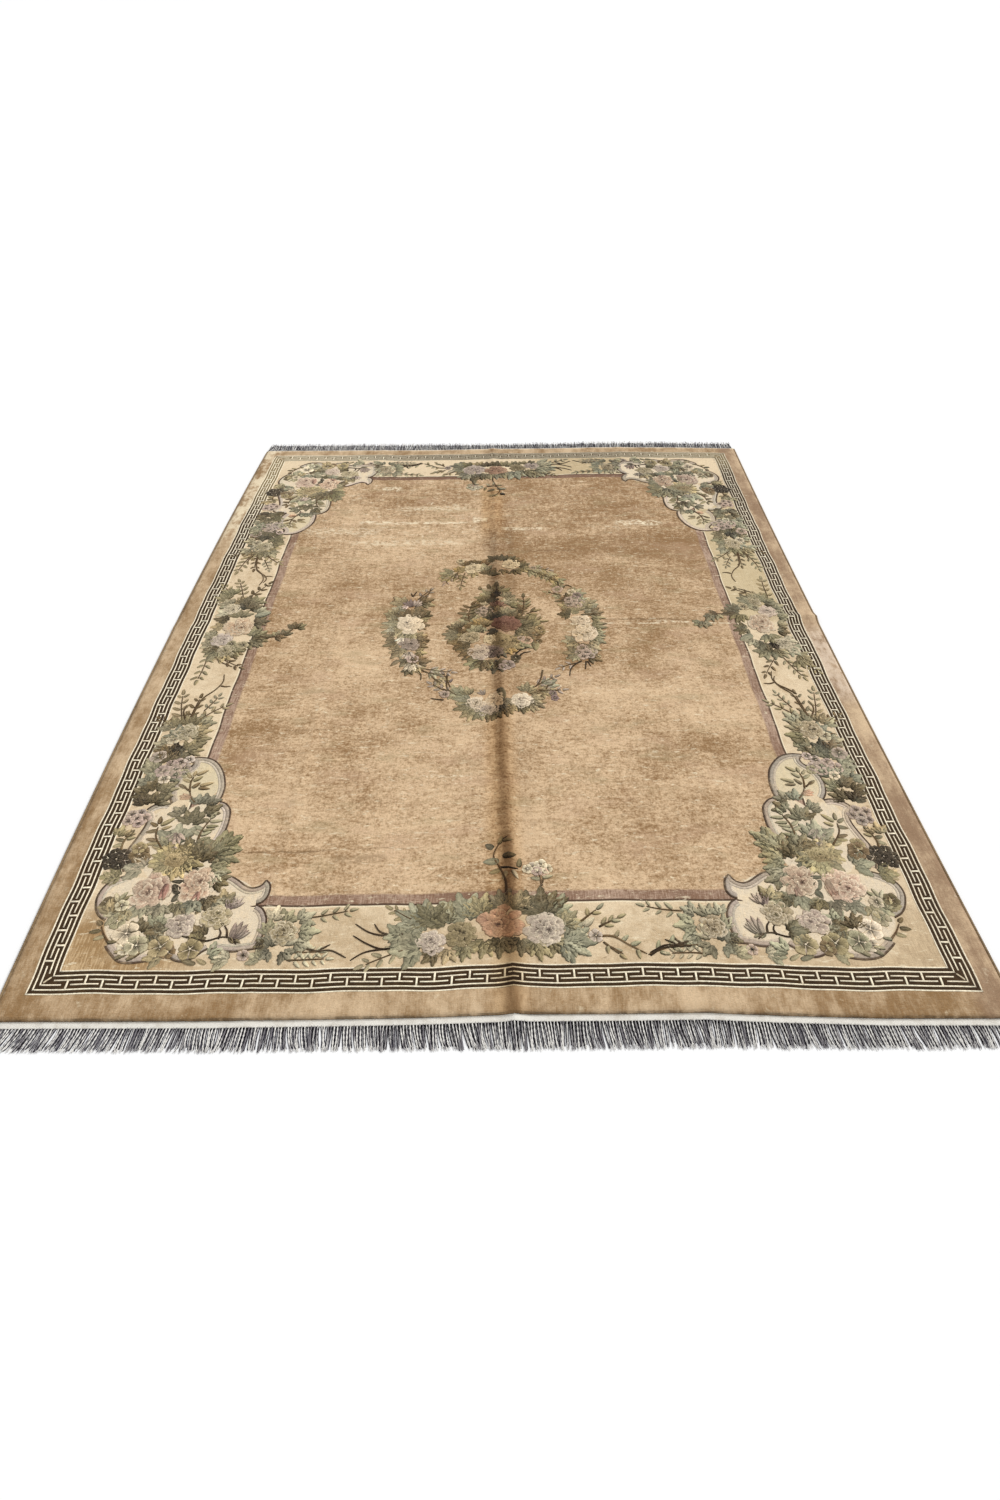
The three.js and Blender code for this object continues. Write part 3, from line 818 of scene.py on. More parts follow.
class Grid:
    """A reusable closed grid. u runs 0 to 1 along it and v -1 to 1 across it, with v's last
    step small, so that a shape's cut edge is narrow."""

    made = {}
    EDGE = 0.84

    def __init__(self, along, across):
        bm = bmesh.new()
        bmesh.ops.create_grid(bm, x_segments=along, y_segments=across, size=1)
        for face in bm.faces:
            face.smooth = True
        bmesh.ops.holes_fill(bm, edges=bm.edges[:], sides=0)
        bm.verts.layers.float_color.new("tint")
        bm.verts.layers.float_vector.new("part")
        self.mesh = bpy.data.meshes.new(f"grid_{along}_{across}")
        bm.to_mesh(self.mesh)
        bm.free()
        x, y, _ = coordinates(self.mesh).T
        self.along = along
        self.step = np.rint((x + 1) / 2 * along).astype(int)
        self.u = self.step / along
        inner = 1 - 2 / across
        if inner > 0:
            y = np.where(np.abs(y) > 0.999, y, y / inner * self.EDGE)
        self.v = y
        self.edge = np.abs(y)

    @classmethod
    def of(cls, along, across):
        key = (along, across)
        if key not in cls.made:
            cls.made[key] = cls(along, across)
        return cls.made[key]

    @classmethod
    def clear(cls):
        for grid in cls.made.values():
            bpy.data.meshes.remove(grid.mesh)
        cls.made.clear()


def smooth_path(points, step):
    """A smooth line through points, with its own points about step apart."""
    points = np.array(points, float)
    padded = np.vstack([2 * points[0] - points[1], points, 2 * points[-1] - points[-2]])
    path = [points[0]]
    for k in range(len(points) - 1):
        a, b, c, d = padded[k : k + 4]
        parts = max(2, math.ceil(np.linalg.norm(c - b) / step))
        for t in np.arange(1, parts + 1) / parts:
            bend = (2 * a - 5 * b + 4 * c - d) * t**2 + (3 * b - 3 * c + d - a) * t**3
            path.append(0.5 * (2 * b + (c - a) * t + bend))
    return np.array(path)


def shares_of(count):
    """Places from the middle outwards: -1, 0 and 1 for three."""
    return np.arange(count) - (count - 1) / 2


class Carving:
    """Carved shapes gathered in one mesh. They are drawn in the near left quarter of the rug,
    and place sets which quarter they go to and how far they are moved there."""

    def __init__(self, seed):
        self.bm = bmesh.new()
        self.bm.verts.layers.float_color.new("tint")
        self.bm.verts.layers.float_vector.new("part")
        self.random = np.random.default_rng(seed)
        self.drawn = 0
        self.place(1, 1)

    def place(self, mirror_x, mirror_y, shift=(0, 0), stretched=False):
        self.mirror = (mirror_x, mirror_y)
        self.flip = mirror_x * mirror_y
        self.shift = shift
        self.stretched = stretched

    def point(self, x, y):
        mirror_x, mirror_y = self.mirror
        shift_x, shift_y = self.shift
        if self.stretched and mirror_x < 0:
            past = max(0.0, -x - RIGHT_STRETCH_FROM - RIGHT_SHIFT)
            x = x + RIGHT_SHIFT - past * RIGHT_STRETCH / (1 - RIGHT_STRETCH)
        return np.array([x * mirror_x + shift_x, y * mirror_y + shift_y])

    def heading(self, turn):
        angle = math.radians(turn)
        return math.atan2(math.sin(angle) * self.mirror[1], math.cos(angle) * self.mirror[0])

    def vary(self, amount):
        return 1 + amount * (2 * self.random.random() - 1)

    def level(self):
        """A new shape's own height, so that neighbours lie over and under each other."""
        self.drawn += 1
        return LOWEST_LEVEL + LEVEL_STEP * (self.drawn * 3 % LEVELS)

    def dyed(self, colour):
        """A yarn's colour, a little off as hand-dyed yarn is."""
        colour = np.array(colour) * self.vary(0.14)
        return np.clip(colour * [self.vary(0.05), 1, self.vary(0.05)], 0, 1)

    def stamp(self, grid, x, y, height, tint, veins=0.0, kind=PLAIN):
        """Adds one grid with these places, heights, colours and phases of its veins."""
        colours = np.empty((len(grid.u), 4))
        colours[:, :3] = np.clip(tint, 0, 1)
        colours[:, 3] = veins
        part = np.column_stack([grid.u, grid.v * self.flip, np.full(len(grid.u), kind)])
        grid.mesh.vertices.foreach_set("co", np.column_stack([x, y, height]).ravel())
        grid.mesh.attributes["tint"].data.foreach_set("color", colours.ravel())
        grid.mesh.attributes["part"].data.foreach_set("vector", part.ravel())
        self.bm.from_mesh(grid.mesh)

    def blade(self, at, heading, length, width, tint, level, curl=0.0, teeth=0.0, fine=True):
        """A leaf's blade: domed on both sides of its rib, from a darker stalk to a paler tip."""
        grid = Grid.of(8, 4) if fine else Grid.of(4, 4)
        u, v, edge = grid.u, grid.v, grid.edge
        swell = np.sin(np.pi * u**0.8) ** 0.85 * 0.96 + 0.04
        odd = np.where(grid.step % 2 == 1, 1.0, -1.0) * (u > 0) * (u < 1)
        swell = swell * (1 + teeth * odd * (edge > 0.5))
        along = length * (u - 0.06 * edge * (u > 0.05))
        across = v * swell * width / 2 + self.flip * curl * length * u**2
        rim = (edge > 0.95) | (u < 0.01) | (u > 0.99)
        height = level + np.where(rim, CUT, DOME * np.where(edge < 0.1, 0.4, 1.0))
        shade = (0.68 + 0.54 * u)[:, None]
        veins = math.tau * (length / 11 * u - 1.2 * edge) if fine else 0.0
        c, s = math.cos(heading), math.sin(heading)
        x, y = at[0] + along * c - across * s, at[1] + along * s + across * c
        self.stamp(grid, x, y, height, tint * shade, veins, LEAF)

    def leaf(self, x, y, turn, length, width, colour):
        """One plain leaf."""
        at = self.point(x, y)
        self.blade(at, self.heading(turn), length, width, self.dyed(colour), self.level())

    def frond(self, x, y, turn, size, colour, count=3, level=None):
        """Toothed leaves fanned out of one stalk, over darker blades in their gaps that are painted shade.
        """
        at = self.point(x, y)
        spread, wide = SMALL_FAN if count < 4 else FULL_FAN
        level = self.level() if level is None else level
        tint = self.dyed(colour)
        # Darker, lower blades in the gaps between the lobes, as painted shade there
        for off in shares_of(count + 1):
            heading = self.heading(turn + off * spread)
            length = size * (0.78 - 0.07 * abs(off)) * self.vary(0.14)
            width = length * LEAF_WIDTH
            self.blade(at, heading, length, width, tint * 0.55, level - 0.4, fine=False)
        for k in sorted(range(count), key=lambda k: -abs(k - (count - 1) / 2)):
            off = k - (count - 1) / 2
            heading = self.heading(turn + off * spread * self.vary(0.14))
            length = size * (1.04 - 0.1 * abs(off)) * self.vary(0.12)
            lobe = tint * self.vary(0.12) * (1.22 if k % 2 else 0.82)
            above = level - 0.2 * abs(off)
            self.blade(at, heading, length, length * wide, lobe, above, 0.05 * off, 0.2)

    def under(self, *row):
        """A frond that lies under the rest of its bouquet."""
        self.frond(*row, level=UNDER_LEVEL)

    def band(self, points, start, stop, colour, level=0.0, offset=0.0, dome=DOME, rim_shade=0.7):
        """A carved line through points, from one width to another."""
        path = smooth_path([self.point(*point) for point in points], 9)
        grid = Grid.of(len(path) - 1, 3)
        along = np.gradient(path, axis=0)
        along /= np.linalg.norm(along, axis=1)[:, None]
        width = start + (stop - start) * grid.u
        across = grid.v * width / 2 + offset * self.flip
        at, way = path[grid.step], along[grid.step]
        ends = (grid.u < 0.001) | (grid.u > 0.999)
        rim = (grid.edge > 0.95) | ends
        height = level + np.where(rim, CUT * 0.6, dome)
        shade = np.where(grid.edge > 0.95, rim_shade, 1.0)[:, None]
        x = at[:, 0] - way[:, 1] * across
        y = at[:, 1] + way[:, 0] * across
        self.stamp(grid, x, y, height, self.dyed(colour) * shade)

    def twig(self, colour, *points):
        """A bare twig that thins out to its tip."""
        self.band(points, 7.0, 3.0, colour, 0.4)

    def sprig(self, x, y, turn, length, pairs, leaf, colour, bend=0.0, stem=STEM):
        """A thin curved stem with pairs of plain leaves and one at its tip."""
        angle = math.radians(turn)
        way = np.array([math.cos(angle), math.sin(angle)])
        side = np.array([-way[1], way[0]])
        shares = np.linspace(0, 1, 6)
        base = np.array([x, y])
        line = [base + way * length * s + side * bend * length * s**2 for s in shares]
        self.band(line, 4.4, 2.4, stem, 0.3)
        tint = self.dyed(colour)
        for k in range(pairs):
            share = (k + 0.8) / (pairs + 0.2)
            spot = base + way * length * share + side * bend * length * share**2
            tangent = turn + math.degrees(math.atan(2 * bend * share))
            for hand in (-1, 1):
                at = self.point(*(spot + side * 2 * hand))
                heading = self.heading(tangent + hand * 44 * self.vary(0.15))
                long = leaf * (1.1 - 0.3 * share) * self.vary(0.14)
                width = long * LEAF_WIDTH
                self.blade(at, heading, long, width, tint * self.vary(0.2), 0.3, fine=False)
        ahead = self.heading(turn + math.degrees(math.atan(2 * bend)))
        width = leaf * LEAF_WIDTH
        self.blade(self.point(*line[-1]), ahead, leaf, width, tint, 0.3, fine=False)

    def petal(self, at, heading, near, far, spread, colours, level, squash=1.0, pointed=0.2):
        """One petal about a place already mirrored, from its base to its ruffled lip."""
        fine = spread > 0.3
        grid = Grid.of(4, 6) if fine else Grid.of(3, 2)
        last = (grid.along - 1) / grid.along
        u = np.where(grid.u < 0.999, grid.u / last * 0.9, 1.0)
        v, edge = grid.v, grid.edge
        ruffle = 0.06 * np.sin(9 * v + self.random.uniform(0, 6)) * u**2 if fine else 0.0
        reach = near + (far - near) * u * (1 - pointed * edge**2 + ruffle)
        angle = heading + spread * v * (0.45 + 0.55 * np.sqrt(u))
        rim = (edge > 0.95) | (u > 0.99)
        height = level + np.where(rim, CUT * 0.75, DOME * (0.1 + 0.9 * u))
        base, body, lip = colours
        share = np.clip(u / 0.6, 0, 1)[:, None]
        tint = base + (body - base) * share
        lips = (0.85 * (u > 0.85) + 0.3 * (edge > 0.5) * u)[:, None]
        tint = tint + (lip - tint) * np.clip(lips, 0, 1)
        # The cut rim painted darker, as painted shade in its groove
        tint = tint * np.where(rim, 0.8, 1.0)[:, None]
        x = at[0] + np.cos(angle) * reach
        y = at[1] + np.sin(angle) * reach * squash
        self.stamp(grid, x, y, height, tint, 16.0 * v if fine else 0.0, PETAL)

    def spoke(self, start, k, count):
        """Which way petal k of count points, a little off its even place."""
        return start + math.tau * (k + 0.3 * self.random.uniform(-1, 1)) / count

    def bead(self, at, radius, tint, level):
        """A small round knot of pile."""
        grid = Grid.of(2, 2)
        x, y = grid.u * 2 - 1, grid.v
        size = np.maximum(np.hypot(x, y), 1)
        middle = (np.abs(x) < 0.1) & (np.abs(y) < 0.1)
        height = level + np.where(middle, DOME * 0.9, CUT * 0.4)
        shade = np.where(middle, 1.05, 0.85)[:, None]
        self.stamp(grid, at[0] + x / size * radius, at[1] + y / size * radius, height, tint * shade)

    def peony(self, x, y, radius, outer, heart, squash=0.9, lip=IVORY):
        """A full flower: rings of broad ruffled petals about a heart a little off its middle."""
        at = self.point(x, y)
        lean = self.random.uniform(0, math.tau)
        away = np.array([math.cos(lean), math.sin(lean)]) * radius
        body, base, edge = self.dyed(outer), self.dyed(heart), np.array(lip)
        for ring, (count, near, far, set_back) in enumerate(PEONY_RINGS):
            start = self.random.uniform(0, math.tau)
            middle = at + away * set_back
            for k in range(count):
                heading = self.spoke(start, k, count)
                reach = far * radius * self.vary(0.13)
                spread = math.pi / count * self.random.uniform(1.0, 1.5)
                tone = self.vary(0.24) * (1.0 - 0.06 * ring)
                lip_tint = body + (edge - body) * self.random.uniform(0.1, 0.8)
                colours = (base * tone, (body * 0.8 + base * 0.2) * tone, lip_tint)
                height = 0.8 + 0.45 * ring + 0.1 * (k % 2)
                pointed = self.random.uniform(0.2, 0.8)
                petal = (near * radius, reach, spread, colours, height, squash, pointed)
                self.petal(middle, heading, *petal)
        for k in range(3):
            turn = start + math.tau * k / 3
            spot = at + away * 0.22 + np.array([math.cos(turn), math.sin(turn)]) * radius * 0.1
            self.bead(spot, radius * 0.055, base * 0.4, 2.9)

    def aster(self, x, y, radius, colour, squash=0.9):
        """A full flower of many short broad petals, browner towards its lower side."""
        at = self.point(x, y)
        body = self.dyed(colour)
        brown = np.array(BROWN)
        lip = body + (np.array(CREAM) - body) * 0.35
        down = self.heading(270)
        for ring, (count, near, far) in enumerate(ASTER_RINGS):
            start = self.random.uniform(0, math.tau)
            for k in range(count):
                heading = self.spoke(start, k, count)
                reach = far * radius * self.vary(0.16)
                low = 0.5 + 0.5 * math.cos(heading - down)
                tint = (body + (brown - body) * 0.6 * low) * self.vary(0.16)
                bright = self.random.uniform(0.2, 0.9) * (1 - 0.6 * low)
                colours = (tint * 0.4, tint * 0.85, tint + (lip - tint) * bright * 1.4)
                spread = math.pi / count * 1.5
                height = 0.8 + 0.4 * ring
                self.petal(at, heading, near * radius, reach, spread, colours, height, squash, 0.35)

    def blossom(self, x, y, radius, colour, eye=IVORY, level=None):
        """A plain five-petalled flower with one pale knot at its middle."""
        at = self.point(x, y)
        level = self.level() + 0.3 if level is None else level
        start = self.random.uniform(0, math.tau)
        body = self.dyed(colour)
        lip = body * 1.45 + 0.02
        for k in range(5):
            heading = start + math.tau * k / 5
            colours = (body * 0.5, body * self.vary(0.14), lip)
            reach = radius * self.vary(0.08)
            self.petal(at, heading, radius * 0.1, reach, math.pi / 5 * 1.06, colours, level)
        self.bead(at, max(2.8, radius * 0.12), self.dyed(eye), level + 0.9)

    def cluster(self, x, y, radius, colour, count=5, eye=IVORY):
        """Small blossoms crowded round one in their middle."""
        for k in range(count):
            turn = math.tau * (k + self.random.uniform(-0.2, 0.2)) / count
            size = radius * 0.5 * self.vary(0.12)
            spot_x, spot_y = x + math.cos(turn) * radius * 0.6, y + math.sin(turn) * radius * 0.6
            self.blossom(spot_x, spot_y, size, colour, eye, 0.7 + 0.12 * k)
        self.blossom(x, y, radius * 0.5, colour, eye, 1.4)

    def bud(self, x, y, turn, length, colour, count=3, spread=20, level=0.5):
        """Long petals that fan from one stalk."""
        at = self.point(x, y)
        tint = self.dyed(colour)
        for k, off in enumerate(shares_of(count)):
            heading = self.heading(turn + off * spread)
            long = length * (1 - 0.12 * abs(off))
            height = level + 0.25 * k
            width = length * BUD_WIDTH
            self.blade(at, heading, long, width, tint * self.vary(0.2), height, 0.05 * off)

    def bouquet(self, flowers):
        """Draws a bouquet's rows, each by the shape its list is named after."""
        for shape, rows in flowers.items():
            for row in rows:
                getattr(self, shape)(*row)

    def finished(self):
        """The gathered mesh, split along the folds' crests and laid on the rug."""
        split_on_crests(self.bm)
        mesh = bpy.data.meshes.new("carving")
        self.bm.to_mesh(mesh)
        self.bm.free()
        lay_on_rug(mesh)
        return mesh


def split_on_crests(bm):
    """Cuts the faces that cross a fold's crest, so that they bend there as the rug does."""
    lean = MIDDLE_LEAN / LENGTH
    planes = [((middle_fold(0), 0, 0), (1, -lean, 0), 0)]
    planes += [((at, 0, 0), (1, 0, 0), 0) for at, _, _, _ in FOLDS_ALONG[1:]]
    slope = DRIFT / (WIDTH / 2 - DRIFT_START)
    start = (DRIFT_START, FOLD_ACROSS[0], 0)
    planes += [(start, (0, 1, 0), -1), (start, (-slope, 1, 0), 1)]
    for origin, normal, side in planes:
        point, way = Vector(origin), Vector(normal)
        past = {vertex: (vertex.co - point).dot(way) for vertex in bm.verts}
        crossed = set()
        for edge in bm.edges:
            first, second = edge.verts
            if past[first] * past[second] < 0 and side * (first.co.x - DRIFT_START) >= 0:
                crossed.update(edge.link_faces)
        if crossed:
            geometry = list(crossed)
            geometry += {edge for face in crossed for edge in face.edges}
            geometry += {vertex for face in crossed for vertex in face.verts}
            bmesh.ops.bisect_plane(bm, geom=geometry, dist=1e-5, plane_co=point, plane_no=way)


# The drawing. Each bouquet lists rows for the shapes that Carving draws, in the near left
# quarter of the rug unless it says otherwise. A row holds what the method of its list's name
# takes, mostly a place, a turn, a size and a yarn

# A cartouche's outline, one list of points for each of its curls
SCROLLS = (
    ((-977, -868), (-992, -838), (-998, -796), (-986, -752), (-962, -722), (-957, -702), (-969, -683)),
    ((-972, -681), (-945, -677), (-915, -682), (-886, -701), (-858, -740), (-842, -790),
     (-841, -830), (-846, -858)),
    ((-842, -858), (-822, -866), (-802, -890), (-795, -925), (-796, -965), (-803, -1000),
     (-812, -1018)),
    ((-1036, -1112), (-1046, -1075), (-1047, -1034), (-1036, -996), (-1027, -951), (-1031, -918),
     (-1047, -896)),
    ((-1044, -890), (-1030, -875), (-1012, -867), (-995, -864), (-977, -868)),
    ((-768, -1120), (-740, -1127), (-718, -1140), (-697, -1155), (-676, -1163), (-657, -1158),
     (-648, -1147), (-645, -1137)),
    ((-646, -1136), (-631, -1152), (-626, -1172), (-628, -1193), (-640, -1209), (-656, -1214)),
    ((-652, -1214), (-632, -1228), (-617, -1255), (-614, -1285), (-618, -1318), (-626, -1341)),
    ((-622, -1343), (-652, -1347), (-686, -1352), (-719, -1349), (-747, -1341)),
    ((-745, -1341), (-762, -1352), (-780, -1367), (-803, -1376), (-826, -1371), (-845, -1358)),
    ((-842, -1360), (-870, -1370), (-905, -1377), (-936, -1380), (-963, -1375), (-990, -1353),
     (-1009, -1333)),
    ((-1030, -1262), (-1052, -1248), (-1070, -1222), (-1079, -1186), (-1070, -1153), (-1046, -1132),
     (-1020, -1119)),
)

CORNER = {
    "twig": (
        (STEM, (-940, -822), (-946, -785), (-942, -756)), (STEM, (-944, -815), (-970, -792)),
        (STEM, (-908, -868), (-930, -842), (-940, -818)), (STEM, (-953, -1036), (-984, -988), (-990, -952)),
        (STEM, (-865, -1005), (-863, -962), (-848, -922)),
        (BROWN, (-1066, -1040), (-1068, -1010), (-1058, -975)),
        (STEM, (-1000, -1328), (-1022, -1302), (-1036, -1278)),
        (TWIG, (-822, -1303), (-790, -1312), (-755, -1321), (-715, -1311), (-672, -1322)),
        (TWIG, (-728, -1318), (-724, -1300), (-732, -1286)),
        (TWIG, (-706, -1313), (-710, -1292), (-722, -1276)),
        (TWIG, (-700, -1312), (-688, -1322), (-676, -1334)),
    ),
    "leaf": (
        (-935, -752, 35, 40, 14, OLIVE), (-940, -777, 40, 34, 14, OLIVE), (-938, -805, 50, 34, 14, BROWN),
        (-948, -764, 130, 26, 12, OLIVE), (-947, -780, 155, 32, 13, OLIVE), (-955, -805, 150, 32, 13, BROWN),
        (-942, -757, 84, 26, 12, OLIVE), (-918, -795, 18, 46, 15, OLIVE), (-920, -804, -4, 38, 12, BROWN),
        (-985, -950, 42, 48, 17, OLIVE), (-990, -944, 98, 32, 14, BROWN), (-992, -952, 148, 32, 13, BROWN),
        (-985, -966, 192, 36, 14, BROWN), (-978, -964, 28, 32, 13, OLIVE), (-975, -1003, 168, 38, 14, BROWN),
        (-970, -1012, 184, 36, 13, OLIVE), (-958, -1032, 160, 32, 13, OLIVE),
        (-862, -963, 148, 36, 14, GREY), (-863, -980, 152, 36, 14, GREY), (-856, -952, 2, 40, 14, GREEN),
        (-850, -935, 6, 44, 14, GREY), (-850, -924, 62, 34, 14, GREY), (-862, -984, 26, 34, 13, GREY),
        (-862, -968, 12, 40, 13, GREEN), (-850, -936, 146, 28, 14, DARK), (-864, -1002, 20, 38, 15, GREEN),
        (-1060, -985, 68, 26, 13, DARK), (-1066, -1003, 168, 30, 14, DARK),
        (-1066, -1015, 200, 32, 14, OLIVE), (-1062, -998, 20, 26, 12, OLIVE),
        (-1022, -1205, 62, 40, 14, GREY), (-1020, -1205, 118, 34, 14, PALE),
        (-1010, -1200, 40, 30, 12, GREEN), (-1035, -1276, 140, 24, 14, BROWN),
        (-1032, -1292, 188, 32, 14, DARK), (-1018, -1308, 200, 30, 13, OLIVE),
        (-1006, -1326, 10, 26, 12, DARK), (-974, -1372, 34, 46, 15, DARK), (-944, -1374, 38, 46, 15, BROWN),
        (-982, -1352, 8, 34, 12, OLIVE), (-768, -1384, 164, 44, 15, DARK), (-742, -1386, 150, 36, 13, OLIVE),
        (-700, -1312, -52, 24, 12, DARK), (-684, -1318, -32, 20, 10, DARK), (-732, -1288, 118, 14, 8, DARK),
        (-722, -1278, 140, 14, 8, DARK), (-862, -1140, 178, 42, 13, BLACK),
        (-868, -1178, 128, 42, 26, BLACK), (-868, -1180, 240, 30, 20, BLACK),
    ),
    "frond": (
        (-934, -1062, 168, 54, YELLOW, 5), (-922, -1048, 112, 50, YELLOW, 5),
        (-890, -1052, 42, 56, YELLOW, 5), (-884, -1072, -16, 58, YELLOW, 5),
        (-902, -1086, 270, 60, YELLOW, 5), (-926, -1084, 222, 56, OLIVE, 5), (-902, -940, 88, 66, DARK, 5),
        (-868, -905, 42, 52, DARK), (-938, -905, 140, 46, SLATE), (-880, -868, 62, 50, SLATE),
        (-904, -866, 96, 44, BLUE), (-1092, -985, 78, 44, OLIVE), (-1072, -985, 40, 30, OLIVE, 2),
        (-924, -1010, 98, 84, TEAL), (-944, -1020, 128, 48, GREY), (-842, -1072, 104, 92, DARK, 5),
        (-822, -1070, 76, 96, BROWN, 5), (-806, -1050, 48, 92, GREEN, 5), (-868, -1040, 118, 60, DARK),
        (-786, -1020, 34, 58, GREEN), (-800, -1080, 18, 58, OLIVE, 5), (-806, -1098, -14, 62, GREEN, 5),
        (-796, -1120, -40, 50, GREY), (-842, -1092, 196, 46, BLACK), (-782, -1140, -20, 48, DARK),
        (-990, -1100, 172, 62, BLUE), (-984, -1088, 148, 44, PALE), (-1040, -1122, 186, 56, GREEN),
        (-1052, -1135, 146, 44, OLIVE), (-1026, -1240, 110, 48, OLIVE), (-1000, -1235, 236, 52, GREY, 5),
        (-986, -1228, 250, 44, OLIVE), (-948, -1214, 236, 50, BLUE, 5), (-906, -1214, 262, 48, SLATE, 5),
        (-872, -1206, 292, 44, GREEN), (-852, -1210, 262, 46, DARK), (-822, -1200, 262, 50, BLUE),
        (-792, -1194, 290, 52, DARK, 5), (-764, -1206, 320, 46, GREY), (-738, -1210, 108, 52, OLIVE),
        (-736, -1216, 60, 42, DARK), (-934, -1292, 100, 50, DARK, 5), (-896, -1276, 84, 48, TEAL),
        (-872, -1290, 186, 50, DARK), (-882, -1302, 160, 46, GREEN), (-900, -1296, 330, 44, SLATE),
        (-762, -1306, 176, 60, DARK, 5), (-772, -1320, 150, 46, GREEN), (-742, -1362, 30, 44, TEAL),
        (-690, -1374, 170, 42, PALE), (-700, -1378, 206, 40, GREY, 2), (-860, -1362, 190, 46, OLIVE),
        (-612, -1375, 150, 42, GREY),
    ),
    "bud": (
        (-926, -842, 172, 44, ORANGE, 3, 14), (-925, -1022, 268, 22, LILAC, 5, 26),
        (-926, -975, 262, 52, LILAC, 5, 24), (-722, -1232, 82, 50, VIOLET, 3, 24),
        (-712, -1226, 58, 42, LILAC, 3, 22), (-694, -1318, 62, 64, VIOLET, 4, 15),
        (-682, -1318, 46, 46, LILAC, 2, 20), (-1040, -1190, 250, 30, BROWN, 3, 34),
        (-908, -1146, 266, 60, ROSE, 2, 10, 2.7), (-816, -1172, 262, 34, ROSE, 2, 30, 2.7),
    ),
    "blossom": (
        (-1012, -1050, 33, BROWN), (-1018, -1028, 22, OLIVE), (-1000, -1062, 20, BROWN),
        (-966, -1298, 36, SKY), (-930, -1332, 32, TEAL), (-955, -1340, 22, SKY), (-868, -1336, 34, OLIVE),
        (-846, -1350, 22, BROWN), (-792, -1342, 33, OLIVE), (-1042, -1210, 24, DARK),
        (-1000, -1262, 26, GREY), (-1006, -1216, 20, PALE), (-655, -1362, 17, LILAC, BLACK),
        (-618, -1338, 10, BLACK, BLACK),
    ),
    "cluster": ((-1068, -1068, 40, BLACK, 6), (-1060, -922, 36, LILAC, 5, VIOLET)),
    "aster": ((-912, -1066, 40, YELLOW, 0.8),),
    "peony": (
        (-945, -1166, 57, PINK, ROSE, 1.0), (-830, -1148, 54, PEACH, ROSE, 1.08),
        (-836, -1276, 44, MAUVE, LILAC, 0.84), (-748, -1252, 44, BLOOM, GREEN, 0.86),
    ),
}

# Beside the end bouquet, along the near and far borders
END_CORNER = {
    "sprig": (
        (-528, -1352, -4, 60, 3, 30, PALE, 0.05), (-545, -1376, 4, 96, 4, 28, PALE, -0.05),
        (-500, -1254, 4, 96, 3, 32, GREY, 0.1),
    ),
    "twig": (
        (TWIG, (-505, -1340), (-470, -1352), (-437, -1352), (-395, -1374)),
        (TWIG, (-470, -1352), (-440, -1334)),
    ),
    "frond": (
        (-598, -1262, 78, 44, PALE), (-566, -1264, 62, 46, GREY), (-530, -1262, 30, 48, TEAL),
        (-524, -1292, -5, 54, GREY), (-600, -1302, 96, 46, GREY, 5), (-592, -1338, 112, 50, SLATE, 5),
        (-560, -1330, 62, 48, PALE), (-590, -1352, 226, 36, SLATE), (-556, -1350, 310, 42, SLATE),
        (-528, -1322, -24, 50, TEAL), (-606, -1330, 200, 36, DARK),
    ),
    "peony": ((-568, -1300, 38, BLOOM, BROWN, 0.95),),
}

# The garland along a side border, between the corner and the middle
GARLAND = {
    "twig": (
        (STEM, (-1034, -512), (-1026, -450), (-1018, -400), (-990, -360), (-976, -320), (-984, -276)),
        (STEM, (-978, -338), (-962, -345), (-944, -342)),
        (STEM, (-1042, -520), (-1062, -470), (-1058, -430)),
        (BROWN, (-1105, -630), (-1070, -640), (-1055, -670)),
        (BROWN, (-1098, -592), (-1075, -590), (-1050, -600)),
    ),
    "sprig": (
        (-1056, -518, 106, 136, 4, 38, OLIVE, -0.05), (-1038, -515, 82, 112, 3, 34, BROWN, 0.05),
        (-1008, -512, 50, 96, 3, 34, OLIVE, -0.1), (-1082, -540, 132, 56, 2, 30, BROWN, 0.1),
        (-1000, -468, 62, 76, 3, 28, GREY, 0.1),
    ),
    "frond": (
        (-1066, -872, 112, 56, SHADE), (-1040, -866, 62, 60, DARK, 5), (-1074, -830, 150, 50, DARK),
        (-1034, -822, 44, 54, GREEN, 5), (-1052, -815, 96, 60, DARK, 5), (-1082, -782, 160, 40, BLUE),
        (-1060, -772, 108, 50, TEAL, 5), (-1030, -772, 66, 56, BLUE, 5), (-1076, -735, 128, 54, TEAL),
        (-1078, -702, 152, 46, GREY), (-1050, -700, 98, 60, DARK, 5), (-1016, -692, 58, 54, DARK, 5),
        (-1064, -665, 112, 52, BROWN), (-1040, -668, 96, 62, BLACK), (-1040, -640, 265, 52, BLACK),
        (-1002, -650, 40, 60, GREEN, 5), (-1074, -622, 168, 50, GREY), (-1046, -585, 104, 60, BLUE, 5),
        (-1080, -550, 132, 50, GREY), (-1004, -572, 48, 62, OLIVE, 5), (-1000, -602, 8, 60, GREEN),
        (-1064, -535, 122, 58, OLIVE, 5), (-1026, -532, 84, 56, GREEN, 5), (-996, -530, 52, 56, GREY),
    ),
    "blossom": (
        (-1050, -738, 27, LILAC), (-985, -748, 20, GREY), (-1080, -676, 28, LILAC), (-1060, -600, 24, PALE),
        (-1038, -772, 20, SKY), (-985, -690, 18, MAUVE), (-1085, -735, 22, TEAL),
    ),
    "cluster": ((-1014, -730, 42, LILAC, 5),),
    "peony": ((-1030, -570, 44, BLOOM, DARK, 0.95),),
}

